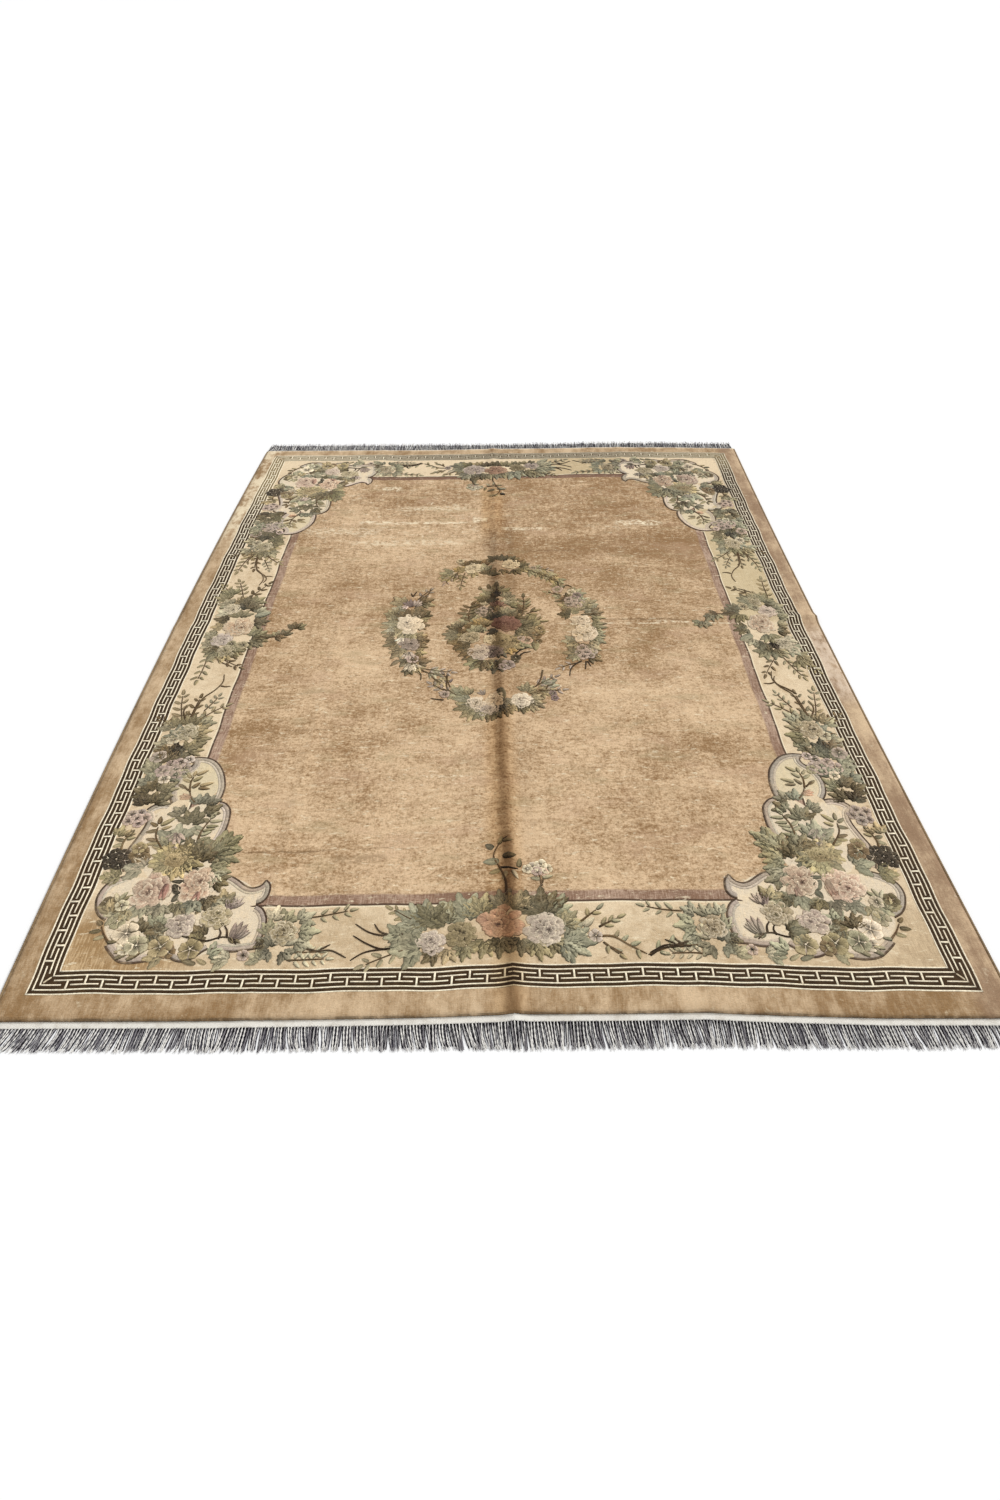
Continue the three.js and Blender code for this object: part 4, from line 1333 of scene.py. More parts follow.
# The bouquet in the middle of the left side, and turned half round on the right
SIDE_MIDDLE = {
    "twig": (
        (STEM, (-1022, 392), (-1000, 365), (-975, 340), (-969, 315), (-977, 294)),
        (STEM, (-925, -60), (-882, -66), (-845, -60), (-810, -34), (-785, 8)),
        (STEM, (-1048, -168), (-1014, -210), (-968, -240)),
    ),
    "sprig": (
        (-1060, -165, 266, 138, 4, 38, OLIVE, 0.02), (-1040, -170, 318, 112, 3, 34, BROWN, 0.1),
        (-1024, 190, 108, 112, 4, 36, OLIVE, 0.05), (-1005, 185, 62, 110, 3, 36, BROWN),
        (-1072, 205, 120, 76, 3, 32, OLIVE, 0.1),
    ),
    "leaf": (
        (-958, 62, 26, 66, 34, TEAL), (-948, 2, 60, 48, 22, DARK), (-1098, 118, 30, 34, 20, GREY),
        (-1020, 118, 200, 34, 18, BLACK),
    ),
    "frond": (
        (-1082, 178, 132, 54, OLIVE, 5), (-1070, 212, 110, 50, GREEN, 5), (-1098, 205, 60, 44, GREEN),
        (-1006, 150, 82, 62, DARK, 5), (-1020, 150, 120, 56, OLIVE, 5), (-978, 160, 44, 54, GREEN),
        (-1060, 142, 128, 54, GREY), (-1014, 108, 100, 52, BLACK), (-985, 112, 58, 62, DARK, 5),
        (-1012, 60, 98, 66, GREEN, 5), (-1056, 82, 152, 50, PALE), (-1060, 105, 70, 44, GREY),
        (-956, 88, 52, 54, GREY), (-948, 24, 12, 60, DARK, 5), (-1050, 34, 160, 54, DARK),
        (-1058, -6, 176, 44, OLIVE), (-930, -78, 20, 74, DARK, 5), (-940, -58, 62, 60, GREEN, 5),
        (-944, -90, -40, 62, DARK, 5), (-1066, -42, 196, 44, GREEN), (-1074, -56, 150, 40, GREY),
        (-1068, -112, 205, 46, GREY), (-1040, -150, 250, 62, GREEN, 5), (-1040, -138, 178, 60, DARK),
        (-1000, -142, 352, 62, GREEN, 5), (-990, -150, 300, 60, DARK, 5), (-1014, -170, 270, 50, OLIVE),
        (-852, -62, -4, 46, BROWN), (-826, -52, 60, 44, DARK), (-794, -16, 96, 46, BROWN),
        (-784, -8, 24, 42, GREEN), (-850, -58, 108, 36, OLIVE, 2),
    ),
    "blossom": (
        (-1072, 150, 24, PALE), (-1078, -78, 22, GREY), (-962, -114, 24, BLOOM), (-1000, -108, 20, GREY),
    ),
    "peony": (
        (-1000, -6, 56, PEACH, ORANGE, 1.0), (-1040, -82, 42, MAUVE, LILAC, 1.0),
        (-1006, -150, 34, OLIVE, GREEN, 1.0), (-1050, 112, 36, PALE, GREEN, 1.0),
    ),
}

# The bouquet in the middle of the near end, and turned half round at the far end
END_MIDDLE = {
    "twig": (
        (TWIG, (-262, -1335), (-310, -1338), (-350, -1322), (-388, -1298)),
        (TWIG, (-270, -1336), (-320, -1340), (-355, -1348), (-386, -1370)),
        (TWIG, (-250, -1296), (-305, -1300), (-345, -1290), (-384, -1264)),
        (TWIG, (-290, -1300), (-318, -1288), (-334, -1264)),
        (BROWN, (236, -1313), (280, -1315), (320, -1342), (360, -1366)), (STEM, (196, -1275), (245, -1235)),
        (STEM, (246, -1287), (300, -1262)), (STEM, (252, -1328), (290, -1365)),
        (STEM, (268, -1343), (300, -1365)), (TWIG, (364, -1370), (400, -1348), (440, -1345), (482, -1343)),
        (TWIG, (436, -1318), (448, -1335), (474, -1350)),
        (STEM, (10, -1200), (6, -1150), (-8, -1106), (-26, -1060), (-5, -1012), (16, -996)),
        (BLACK, (-12, -1101), (16, -1104), (42, -1105)), (STEM, (103, -1160), (98, -1125)),
        (STEM, (103, -1150), (112, -1128)),
    ),
    "sprig": (
        (-250, -1340, 200, 104, 3, 36, GREY, 0.05), (360, -1368, 25, 120, 3, 38, GREY, -0.1),
        (-235, -1255, 150, 60, 2, 32, OLIVE),
    ),
    "leaf": (
        (-10, -1080, 182, 50, 26, BLUE), (-2, -1066, 12, 42, 22, DARK), (-26, -1036, 150, 30, 22, BLACK),
        (-12, -1024, 70, 34, 14, OLIVE), (-2, -1012, 10, 34, 13, OLIVE), (-8, -1110, 196, 36, 16, OLIVE),
        (8, -1114, 250, 32, 14, PALE), (24, -1110, 300, 34, 14, PALE), (42, -1100, 80, 34, 16, GREEN),
        (104, -1134, 12, 34, 14, GREY), (100, -1138, 168, 30, 13, GREY), (206, -1286, 40, 46, 22, PALE),
        (256, -1280, 60, 28, 12, OLIVE), (262, -1282, -8, 28, 12, OLIVE), (276, -1274, 62, 26, 12, OLIVE),
        (282, -1270, -4, 26, 12, GREY), (298, -1262, 24, 28, 12, OLIVE), (262, -1340, -90, 24, 12, OLIVE),
        (276, -1352, -10, 26, 12, GREY), (290, -1365, -40, 24, 11, OLIVE), (300, -1330, 40, 30, 13, GREY),
        (286, -1318, 60, 26, 12, OLIVE), (320, -1342, 20, 34, 14, GREY), (336, -1352, -80, 30, 13, OLIVE),
        (222, -1254, 96, 26, 12, OLIVE), (232, -1246, 0, 28, 12, OLIVE), (245, -1236, 44, 30, 12, GREY),
    ),
    "frond": (
        (-205, -1290, 172, 88, TEAL, 5), (-208, -1262, 156, 86, TEAL, 5), (-188, -1256, 128, 74, GREEN, 5),
        (-148, -1270, 112, 74, GREEN, 5), (-262, -1300, 190, 54, TEAL), (-96, -1258, 106, 96, TEAL, 5),
        (-58, -1240, 112, 66, OLIVE, 5), (-44, -1246, 92, 58, GREEN), (-2, -1226, 100, 62, SLATE, 5),
        (32, -1230, 74, 62, OLIVE, 5), (66, -1236, 96, 70, DARK, 5), (104, -1246, 94, 96, DARK, 5),
        (130, -1244, 62, 74, TEAL, 5), (158, -1276, 46, 58, OLIVE, 5), (160, -1296, 22, 62, TEAL, 5),
        (158, -1326, -4, 78, BLUE, 5), (150, -1332, -30, 58, TEAL), (126, -1326, -50, 56, GREEN),
        (84, -1328, -80, 58, OLIVE, 5), (44, -1322, -92, 56, DARK, 5), (-8, -1320, -96, 60, DARK, 5),
        (-48, -1322, -104, 58, OLIVE, 5), (-100, -1338, -100, 46, GREEN, 5), (-140, -1344, -110, 42, OLIVE),
        (-176, -1350, -140, 40, DARK), (-214, -1340, -176, 84, TEAL), (-226, -1324, 188, 66, GREY, 5),
        (176, -1340, -40, 40, TEAL),
    ),
    "blossom": (
        (82, -1100, 20, SKY), (102, -1094, 22, SKY), (66, -1104, 16, SKY), (118, -1104, 18, PALE),
        (92, -1112, 16, LILAC), (110, -1116, 15, PINK), (236, -1312, 20, MAUVE),
    ),
    "peony": (
        (-184, -1322, 42, MAUVE, VIOLET, 0.8), (-112, -1300, 44, OLIVE, DARK, 0.86, BLOOM),
        (-4, -1272, 62, ORANGE, ROSE, 0.8, PEACH), (106, -1288, 56, MAUVE, VIOLET, 0.92),
    ),
}

# The wreath in the middle of the field
WREATH = {
    "under": (
        (-372, 20, 178, 84, GREY, 5), (-372, -10, 196, 80, OLIVE, 5), (-366, 44, 160, 80, BROWN, 5),
        (-330, -40, 250, 60, OLIVE, 5), (-350, -30, 270, 60, GREY, 5), (-316, 10, -6, 50, BROWN, 5),
        (-316, 40, 20, 50, OLIVE, 5), (-376, 112, 200, 60, GREY, 5), (-340, 112, -10, 60, BROWN, 5),
        (-356, 112, 268, 50, OLIVE, 5), (-352, -150, 180, 60, GREY, 5), (244, 236, 160, 50, GREY, 5),
        (262, 214, -20, 56, OLIVE, 5), (284, 196, 10, 60, GREY, 5), (230, 252, 120, 46, OLIVE),
        (296, 150, 60, 56, GREY, 5), (330, 130, 30, 56, OLIVE, 5), (268, 160, 190, 50, BROWN, 5),
        (318, 84, 20, 60, GREY, 5), (300, 84, 150, 50, OLIVE, 5), (-196, 366, 215, 70, GREY, 5),
        (-214, 346, 235, 60, OLIVE, 5), (-176, 352, 250, 50, BROWN, 5), (120, 380, -30, 70, GREY, 5),
        (150, 362, -35, 60, OLIVE, 5), (176, 344, -40, 54, GREY, 5), (200, 322, -50, 50, OLIVE, 5),
        (222, 300, -40, 46, GREY), (-250, -262, -30, 50, GREY, 5), (-222, -300, -60, 50, OLIVE),
        (-150, -386, 150, 60, OLIVE, 5), (150, -350, 40, 56, GREY, 5), (130, -376, 10, 60, OLIVE, 5),
    ),
    "twig": (
        (STEM, (-325, 180), (-292, 212), (-280, 262)), (TWIG, (-350, 198), (-360, 226)),
        (TWIG, (-350, 198), (-336, 238)), (DARK, (-300, -252), (-285, -278), (-283, -310)),
        (STEM, (-292, -248), (-262, -268), (-230, -276), (-198, -280)),
        (STEM, (-248, -280), (-236, -302), (-208, -328)),
        (STEM, (-192, -278), (-190, -345), (-176, -370), (-150, -392)), (STEM, (-180, -372), (-205, -352)),
        (TWIG, (-198, -412), (-222, -408), (-246, -402)), (TWIG, (228, 294), (229, 262), (244, 236)),
        (DARK, (244, 240), (262, 262), (284, 246)),
        (TWIG, (288, -214), (254, -242), (240, -268), (236, -300)), (TWIG, (302, -216), (294, -264)),
        (TWIG, (306, -216), (316, -250)), (STEM, (142, -262), (134, -318), (118, -352), (98, -370)),
        (STEM, (120, -372), (165, -376), (204, -370)), (STEM, (150, -372), (162, -346), (184, -340)),
    ),
    "sprig": (
        (-276, -246, -18, 96, 3, 32, LILAC, 0.1), (-330, 175, 62, 76, 2, 34, LILAC, -0.1),
        (-176, 372, 232, 90, 3, 32, LILAC, 0.1), (-150, 366, 258, 100, 3, 34, OLIVE, 0.1),
        (122, 372, -42, 100, 3, 34, BROWN, 0.1), (128, 392, -8, 66, 2, 30, LILAC, -0.1),
        (-170, -388, 138, 90, 3, 34, LILAC, 0.05), (-178, -350, 104, 72, 2, 30, VIOLET, 0.1),
        (120, -378, 6, 86, 2, 32, LILAC), (110, -360, 44, 90, 3, 32, LILAC, -0.1),
        (240, 190, 150, 60, 2, 28, GREY, 0.1), (270, -226, 196, 66, 2, 30, LILAC, 0.1),
    ),
    "leaf": (
        (-420, 2, 186, 44, 18, OLIVE), (-400, -104, 190, 44, 22, BROWN), (-384, -128, 256, 54, 28, BROWN),
        (-372, -196, 232, 44, 20, BROWN), (300, 60, 2, 96, 14, BROWN), (352, -2, 2, 52, 14, DARK),
        (248, 152, 178, 44, 14, DARK), (-8, -362, -78, 74, 34, DARK),
    ),
    "frond": (
        (-384, 150, 128, 60, OLIVE), (-398, 170, 160, 40, BROWN, 2), (-318, 158, 26, 56, BROWN),
        (-310, 150, -12, 50, OLIVE), (-416, 78, 124, 48, OLIVE), (-394, 66, 102, 56, DARK),
        (-362, 62, 94, 62, BROWN, 5), (-330, 62, 76, 62, BROWN, 5), (-304, 66, 54, 48, DARK),
        (-402, 46, 166, 46, OLIVE), (-404, -18, 186, 38, PALE), (-398, -54, 178, 46, BROWN),
        (-388, -92, 206, 52, BROWN, 5), (-312, -62, 20, 44, OLIVE), (-312, -80, -2, 54, BROWN, 5),
        (-316, -106, -24, 56, BROWN), (-366, -134, 236, 62, OLIVE, 5), (-314, -152, -10, 50, OLIVE),
        (-320, -190, -24, 58, BROWN, 5), (-300, -206, -20, 52, BROWN, 2), (-338, -196, 236, 50, DARK),
        (-322, -222, 262, 50, PALE, 5), (-306, -232, 292, 50, OLIVE), (-330, -250, 252, 34, DARK),
        (-152, 378, 132, 48, OLIVE, 5), (-172, 386, 158, 34, GOLD), (-152, 432, 148, 34, PALE),
        (-138, 420, 118, 44, BROWN), (-112, 422, 92, 44, DARK), (-82, 416, 72, 50, BROWN),
        (-70, 372, 96, 62, GREY), (-58, 350, 86, 56, BROWN, 5), (-44, 336, 64, 50, DARK),
        (-26, 448, 128, 50, DARK, 5), (4, 450, 90, 52, SHADE, 5), (40, 452, 56, 46, DARK, 5),
        (60, 444, 24, 46, BROWN), (74, 410, 20, 52, DARK, 5), (76, 390, -14, 50, OLIVE, 5),
        (56, 384, -58, 50, DARK, 5), (10, 380, -96, 40, BROWN), (-112, 366, 262, 40, OLIVE),
        (260, 60, 170, 46, DARK, 5), (262, 78, 140, 40, BROWN), (256, 118, 160, 42, OLIVE),
        (236, 184, 172, 36, GREY), (320, 104, 66, 52, OLIVE, 5), (340, 106, 34, 48, GREY),
        (304, 88, 100, 40, OLIVE), (346, 70, 10, 50, BROWN), (344, 40, -12, 52, OLIVE),
        (344, -18, -6, 52, GREEN, 5), (346, -62, -16, 52, GREEN, 5), (340, -88, -34, 54, GREEN, 5),
        (272, -104, 176, 58, GREY), (278, -112, 206, 46, OLIVE), (272, -168, 184, 58, BROWN),
        (276, -182, 206, 50, GREY, 5), (322, -120, -46, 60, OLIVE), (316, -186, -16, 50, OLIVE),
        (318, -196, -30, 50, BROWN), (290, -116, 262, 44, BROWN, 5), (-128, -392, 138, 60, GREY, 5),
        (-114, -386, 104, 44, OLIVE), (-112, -414, 176, 56, TEAL, 5), (-104, -444, 196, 64, GREEN, 5),
        (-92, -466, 214, 66, OLIVE, 5), (-70, -470, 236, 56, GREEN, 5), (-44, -480, 262, 48, BROWN, 5),
        (-12, -448, 262, 62, BLACK, 5), (-22, -484, 250, 44, DARK), (6, -466, 284, 44, BROWN, 5),
        (12, -418, 270, 44, SLATE, 5), (34, -444, 262, 46, OLIVE, 5), (66, -452, 276, 42, DARK, 5),
        (92, -446, 290, 46, OLIVE, 5), (104, -430, 320, 52, BROWN, 5), (102, -418, 0, 46, OLIVE, 5),
        (92, -388, 44, 40, OLIVE), (84, -378, 84, 50, OLIVE, 5), (108, -382, 30, 40, BROWN),
    ),
    "bud": (
        (-352, 130, 108, 62, VIOLET, 4, 20), (-340, 132, 58, 58, LILAC, 4, 20),
        (-366, 140, 226, 36, MAUVE, 3, 24), (-366, -66, 240, 46, IVORY, 3, 24),
        (-336, -148, 262, 56, MAUVE, 4, 20), (-60, -392, 120, 36, LILAC, 3, 28),
    ),
    "blossom": (
        (300, 190, 20, VIOLET, LILAC), (280, 214, 20, SKY), (-322, -190, 26, LILAC), (-172, 452, 18, PALE),
        (130, 392, 16, LILAC), (174, -388, 16, VIOLET), (180, -412, 15, VIOLET), (-196, -384, 20, LILAC),
        (224, 232, 24, LILAC),
    ),
    "cluster": ((286, 146, 40, LILAC), (306, -168, 42, LILAC, 6)),
    "peony": (
        (-340, -104, 42, LILAC, VIOLET, 0.9, MAUVE), (-346, 20, 56, CREAM, MAUVE, 1.12),
        (300, 24, 40, CREAM, PINK, 0.85), (306, -56, 52, CREAM, GOLD, 1.1),
        (-116, 396, 42, CREAM, BLOOM, 0.92), (38, 424, 40, CREAM, PEACH, 0.95),
        (-52, -462, 40, MAUVE, LILAC), (-26, -424, 36, CREAM, ORANGE, 1.15), (-84, -436, 42, CREAM, BLOOM),
        (68, -424, 42, CREAM, PINK, 0.95),
    ),
}

# The bouquet inside the wreath
CENTRE = {
    "under": (
        (-40, 200, 130, 60, GREY, 5), (0, 206, 50, 60, OLIVE, 5), (-22, 214, 90, 66, OLIVE, 5),
        (-60, 170, 160, 56, OLIVE, 5), (20, 160, 10, 60, GREY, 5), (-80, 120, 150, 50, BROWN, 5),
        (60, 96, 20, 50, BROWN, 5), (-60, 60, 140, 50, GREY, 5), (-118, 20, 120, 60, GREY, 5),
        (-100, -20, 90, 70, BROWN, 5), (100, 20, 60, 70, OLIVE, 5), (90, -40, -20, 70, BROWN, 5),
        (60, -110, -30, 60, GREY, 5), (-130, -70, 150, 60, OLIVE, 5),
    ),
    "twig": (
        (STEM, (-122, 20), (-128, 78), (-112, 148)), (STEM, (74, 52), (86, 120), (86, 196)),
        (STEM, (92, 68), (120, 88), (136, 84)), (STEM, (-15, 214), (-18, 262)),
        (BLACK, (48, -176), (70, -152), (104, -136)), (BLACK, (62, -188), (78, -170), (108, -160)),
    ),
    "leaf": (
        (-118, 140, 50, 34, 15, BROWN), (-126, 116, 32, 50, 15, DARK), (-128, 96, 30, 52, 15, DARK),
        (-128, 76, 34, 54, 15, DARK), (-126, 56, 38, 54, 16, DARK), (-126, 40, 52, 46, 16, DARK),
        (-126, 116, 140, 38, 15, BROWN), (-130, 96, 152, 42, 15, BROWN), (-130, 76, 166, 48, 18, DARK),
        (-128, 46, 160, 36, 16, DARK), (-120, 30, 150, 30, 14, BROWN), (86, 180, 84, 36, 15, DARK),
        (88, 150, 46, 42, 14, GREEN), (88, 130, 46, 44, 14, GREY), (86, 112, 40, 44, 14, GREEN),
        (84, 150, 134, 36, 14, GREEN), (84, 130, 142, 36, 14, GREY), (80, 100, 130, 38, 14, BROWN),
        (112, 84, 60, 40, 14, DARK), (118, 88, 20, 40, 14, OLIVE), (100, 72, -10, 44, 14, GREEN),
        (132, 28, 58, 36, 15, BROWN), (142, 16, 4, 40, 14, OLIVE), (124, -96, 270, 64, 32, GREEN),
        (-44, 240, 106, 40, 18, BROWN), (-20, 246, 86, 44, 20, DARK), (-2, 236, 60, 34, 15, BROWN),
        (4, 222, 30, 36, 15, GREEN), (-34, 226, 160, 44, 15, PALE), (-84, 236, 90, 30, 15, BROWN),
        (-62, -40, 160, 34, 16, BLACK), (-56, -54, 20, 26, 12, BLACK),
    ),
    "frond": (
        (-20, 186, 90, 44, BLACK, 5), (-20, 176, 120, 36, SHADE), (18, 186, 60, 46, SLATE),
        (22, 180, 110, 36, GREY), (-62, 150, 106, 44, DARK), (-66, 130, 92, 30, PALE),
        (-40, 140, 84, 48, SHADE), (16, 134, 66, 44, PALE, 5), (34, 120, 30, 40, GREEN),
        (-18, 84, 92, 46, OLIVE), (18, 66, 84, 52, GREY, 5), (28, 76, 40, 40, SLATE),
        (-44, 92, 96, 40, SHADE), (-46, 44, 92, 60, SHADE), (-72, 4, 100, 62, GOLD, 5),
        (-66, 0, 62, 46, OLIVE), (-74, -18, 160, 46, GREY), (-72, -12, 250, 38, GREY, 5),
        (-24, 30, 118, 48, BLACK), (4, 40, 90, 50, BLACK, 5), (44, 44, 70, 52, BROWN, 5),
        (66, 12, 56, 60, DARK, 5), (70, 0, 20, 56, DARK, 5), (70, -12, -10, 48, DARK, 5),
        (60, -30, -40, 44, DARK), (-18, -34, 218, 44, BLACK), (-164, 4, 150, 36, PALE),
        (-160, -8, 100, 40, SLATE), (-160, -28, 146, 54, DARK, 5), (-166, -50, 176, 58, SLATE, 5),
        (-164, -60, 220, 48, GREEN, 5), (-150, -44, 60, 44, BROWN), (-98, -40, 108, 50, GREY),
        (-132, -94, 184, 70, BROWN), (-120, -112, 160, 50, DARK, 5), (-116, -128, 196, 62, DARK, 5),
        (-112, -150, 210, 60, BROWN, 5), (-104, -170, 216, 62, DARK, 5), (-72, -206, 230, 76, GREEN, 5),
        (-66, -210, 264, 62, BROWN, 5), (-52, -212, 292, 60, GREEN), (-10, -152, 266, 58, BLACK, 5),
        (-22, -224, 262, 66, SHADE, 5), (-14, -212, 282, 56, DARK, 5), (-34, -206, 250, 36, GOLD),
        (44, -76, -20, 44, DARK, 5), (34, -92, 20, 40, OLIVE), (30, -132, -16, 52, OLIVE, 5),
        (22, -142, -70, 46, GOLD), (96, -50, 196, 40, OLIVE), (104, -16, 120, 44, DARK),
        (120, -10, 50, 44, GREEN), (122, -70, 190, 40, BROWN),
    ),
    "bud": (
        (-30, 112, 84, 52, BURGUNDY, 4, 18), (-10, 112, 60, 46, ROSE, 3, 24),
        (20, -118, 254, 32, VIOLET, 3, 24),
    ),
    "blossom": (
        (20, -236, 27, LILAC), (4, -252, 20, MAUVE), (48, -196, 20, SHADE), (44, -214, 17, DARK),
        (142, -24, 22, OLIVE), (132, -58, 24, BROWN), (134, -98, 18, BROWN), (150, -44, 16, OLIVE),
        (94, -94, 25, PINK), (72, -84, 16, MAUVE), (-26, 136, 17, ROSE, IVORY),
    ),
    "cluster": ((-70, 88, 34, LILAC, 4, MAUVE),),
    "aster": (
        (4, -102, 50, YELLOW, 1.05),
    ),
    "peony": (
        (-118, -74, 42, BLOOM, GREY, 0.92), (-44, -86, 26, CREAM, YELLOW, 1.1),
        (-34, -158, 46, VIOLET, SHADE, 0.95, LILAC), (-80, -156, 46, MAUVE, LILAC, 1.0),
        (18, 6, 56, ROSE, BURGUNDY, 0.9, ROSE), (20, -6, 44, BURGUNDY, BURGUNDY, 0.72, ROSE),
    ),
}


QUARTERS = ((1, 1), (-1, 1), (1, -1), (-1, -1))


# Pieces


def make_pile(sizes, colours):
    """The knotted sheet itself, closed, over the folds."""
    step = sizes.cell / MM
    inside_width, inside_length = PILE_HALF_WIDTH - RIM_WIDTH, PILE_HALF_LENGTH - RIM_WIDTH
    xs = grid_lines(PILE_HALF_WIDTH, [*MARKS_ACROSS, -inside_width, inside_width], step)
    ys = grid_lines(PILE_HALF_LENGTH, [*MARKS_ALONG, -inside_length, inside_length], step)
    mesh, column, row, top = make_sheet("pile_ground", xs, ys)
    x, y = followed(xs[column], ys[row])
    rim = np.minimum(PILE_HALF_WIDTH - np.abs(x), PILE_HALF_LENGTH - np.abs(y))
    drop = RIM_DROP * (1 - np.clip(rim / RIM_WIDTH, 0, 1))
    at_x, at_y = placed(x, y)
    z = lift(x, y) + np.where(top, THICKNESS - drop + unevenness(x, y), 0)
    set_coordinates(mesh, np.column_stack([at_x, at_y, z]) * MM)
    stray_x, stray_y = wandered(x, y)
    drawing = np.column_stack([x - stray_x, y - stray_y, np.zeros(len(x))]) * MM
    mesh.attributes.new("flat", "FLOAT_VECTOR", "POINT").data.foreach_set("vector", drawing.ravel())
    add_piece("pile_ground", mesh, pile_finish(colours, sizes), "pile", "pile_rug")


FRET_LINES = (0, 11.5, 48, 60)
FRET_OUTER_BAR = 24
FRET_INNER_BAR = 36
FRET_LINE_WIDTH = 4.4
FRET_FIRST_STEM = 88
FRET_REPEATS = (25, 32)
FRET_BAR_SHARE = 0.8
FRET_RISE = 0.9
FRET_STEM_RISE = FRET_RISE - 0.06
FRET_LIP = 0.7
FRET_MITRE = (27, 47)


def fret_sides(turned):
    """Half the length of a side of the fret, and its distance from the rug's middle."""
    halves = (FRET_HALF_WIDTH, FRET_HALF_LENGTH)
    return (halves[1], halves[0]) if turned % 2 else halves


def turned_round(x, y, turned):
    """A place turned by quarters of a turn about the rug's middle."""
    for _ in range(turned):
        x, y = -y, x
    return x, y


def fret_bar(carving, tint, turned, ends, offsets, rise=FRET_RISE):
    """One raised bar from ends[0] to ends[1] along a side of the fret, between two offsets
    inwards. An end given as None is mitred on the frame's corner."""
    half_length, half_width = fret_sides(turned)
    cut = [end is not None for end in ends]
    first = ends[0] if cut[0] else -half_length
    last = ends[1] if cut[1] else half_length
    grid = Grid.of(max(3, int((last - first) / 14) + 2), 3)
    middle, half = sum(offsets) / 2, (offsets[1] - offsets[0]) / 2
    lip = min(FRET_LIP, half / 2)
    inward = middle + np.sign(grid.v) * np.where(grid.edge > 0.95, half, half - lip)
    start = first if cut[0] else inward - half_length
    stop = last if cut[1] else half_length - inward
    share = np.clip((grid.step - cut[0]) / (grid.along - cut[0] - cut[1]), 0, 1)
    open_start = cut[0] & (grid.step == 0)
    open_stop = cut[1] & (grid.step == grid.along)
    along = start + (stop - start) * share + (open_stop * 1.0 - open_start) * lip / 2
    rim = (grid.edge > 0.95) | open_start | open_stop
    x, y = turned_round(along, inward - half_width, turned)
    height = np.where(rim, CUT * 0.6, rise)
    shade = np.where(rim, 0.62, 1.0)[:, None] * carving.vary(0.06)
    carving.stamp(grid, x, y, height, tint * shade)


def make_fret(sizes, colours):
    """The key fret's raised pale lines and bars on its dark ground."""
    carving = Carving(5)
    tint = np.array(colours.fret_line)
    half = FRET_LINE_WIDTH / 2
    outer = (FRET_OUTER_BAR - half, FRET_OUTER_BAR + half)
    inner = (FRET_INNER_BAR - half, FRET_INNER_BAR + half)
    for turned in range(4):
        half_length, half_width = fret_sides(turned)
        repeats = FRET_REPEATS[turned % 2]
        pitch = (2 * half_length - 2 * FRET_FIRST_STEM) / repeats
        reach = pitch * FRET_BAR_SHARE / 2
        first_stem = FRET_FIRST_STEM - half_length
        for line in FRET_LINES:
            fret_bar(carving, tint, turned, (None, None), (line - half, line + half))
        for k in range(repeats + 1):
            at = first_stem + k * pitch
            stem = (at - half, at + half)
            fret_bar(carving, tint, turned, (at - reach, at + reach), inner)
            reaching = (FRET_LINES[1], FRET_INNER_BAR)
            fret_bar(carving, tint, turned, stem, reaching, FRET_STEM_RISE)
        for k in range(repeats):
            at = first_stem + (k + 0.5) * pitch
            stem = (at - half, at + half)
            fret_bar(carving, tint, turned, (at - reach, at + reach), outer)
            reaching = (FRET_OUTER_BAR, FRET_LINES[2])
            fret_bar(carving, tint, turned, stem, reaching, FRET_STEM_RISE)
        corner = -first_stem + reach * 0.4
        fret_bar(carving, tint, turned, (None, -corner), outer)
        fret_bar(carving, tint, turned, (corner, None), outer)
        mitre = [(inwards - half_length, inwards - half_width) for inwards in FRET_MITRE]
        points = [turned_round(*place, turned) for place in mitre]
        carving.band(points, FRET_LINE_WIDTH, FRET_LINE_WIDTH, CREAM, dome=FRET_RISE)
    add_piece("key_fret", carving.finished(), carved_finish("fret_yarn", sizes, 0.3), "pile")


# A scroll's two bands and its dark line: their widths and the bands' places inside the line
PALE_BAND_WIDTH = 9
PALE_BAND_OFFSET = -16.0
INNER_BAND_WIDTH = 12
INNER_BAND_OFFSET = -7.5
NEAR_LINE_WIDTH = 5.4
FAR_LINE_WIDTH = 8


def make_scrolls(sizes):
    """The scrolled outlines of the corner cartouches: two bands inside a dark line. The nearer
    corners have the mauve band, and the further ones the wider line."""
    carving = Carving(11)
    for mirror_x, mirror_y in QUARTERS:
        carving.place(mirror_x, mirror_y, stretched=True)
        inner, line_width = (SCROLL, NEAR_LINE_WIDTH) if mirror_y > 0 else (SHELL, FAR_LINE_WIDTH)
        pale = (PALE_BAND_WIDTH, PALE_BAND_WIDTH, SHELL, -0.3, PALE_BAND_OFFSET, 0.7, 0.95)
        band = (INNER_BAND_WIDTH, INNER_BAND_WIDTH, inner, 0.0, INNER_BAND_OFFSET, 0.9, 0.92)
        line = (line_width, line_width, LINE, 0.25, 0.0, 0.9, 0.8)
        for points in SCROLLS:
            carving.band(points, *pale)
            carving.band(points, *band)
            carving.band(points, *line)
    finish = carved_finish("scroll_yarn", sizes, 0.35)
    add_piece("scroll_outlines", carving.finished(), finish, "pile")


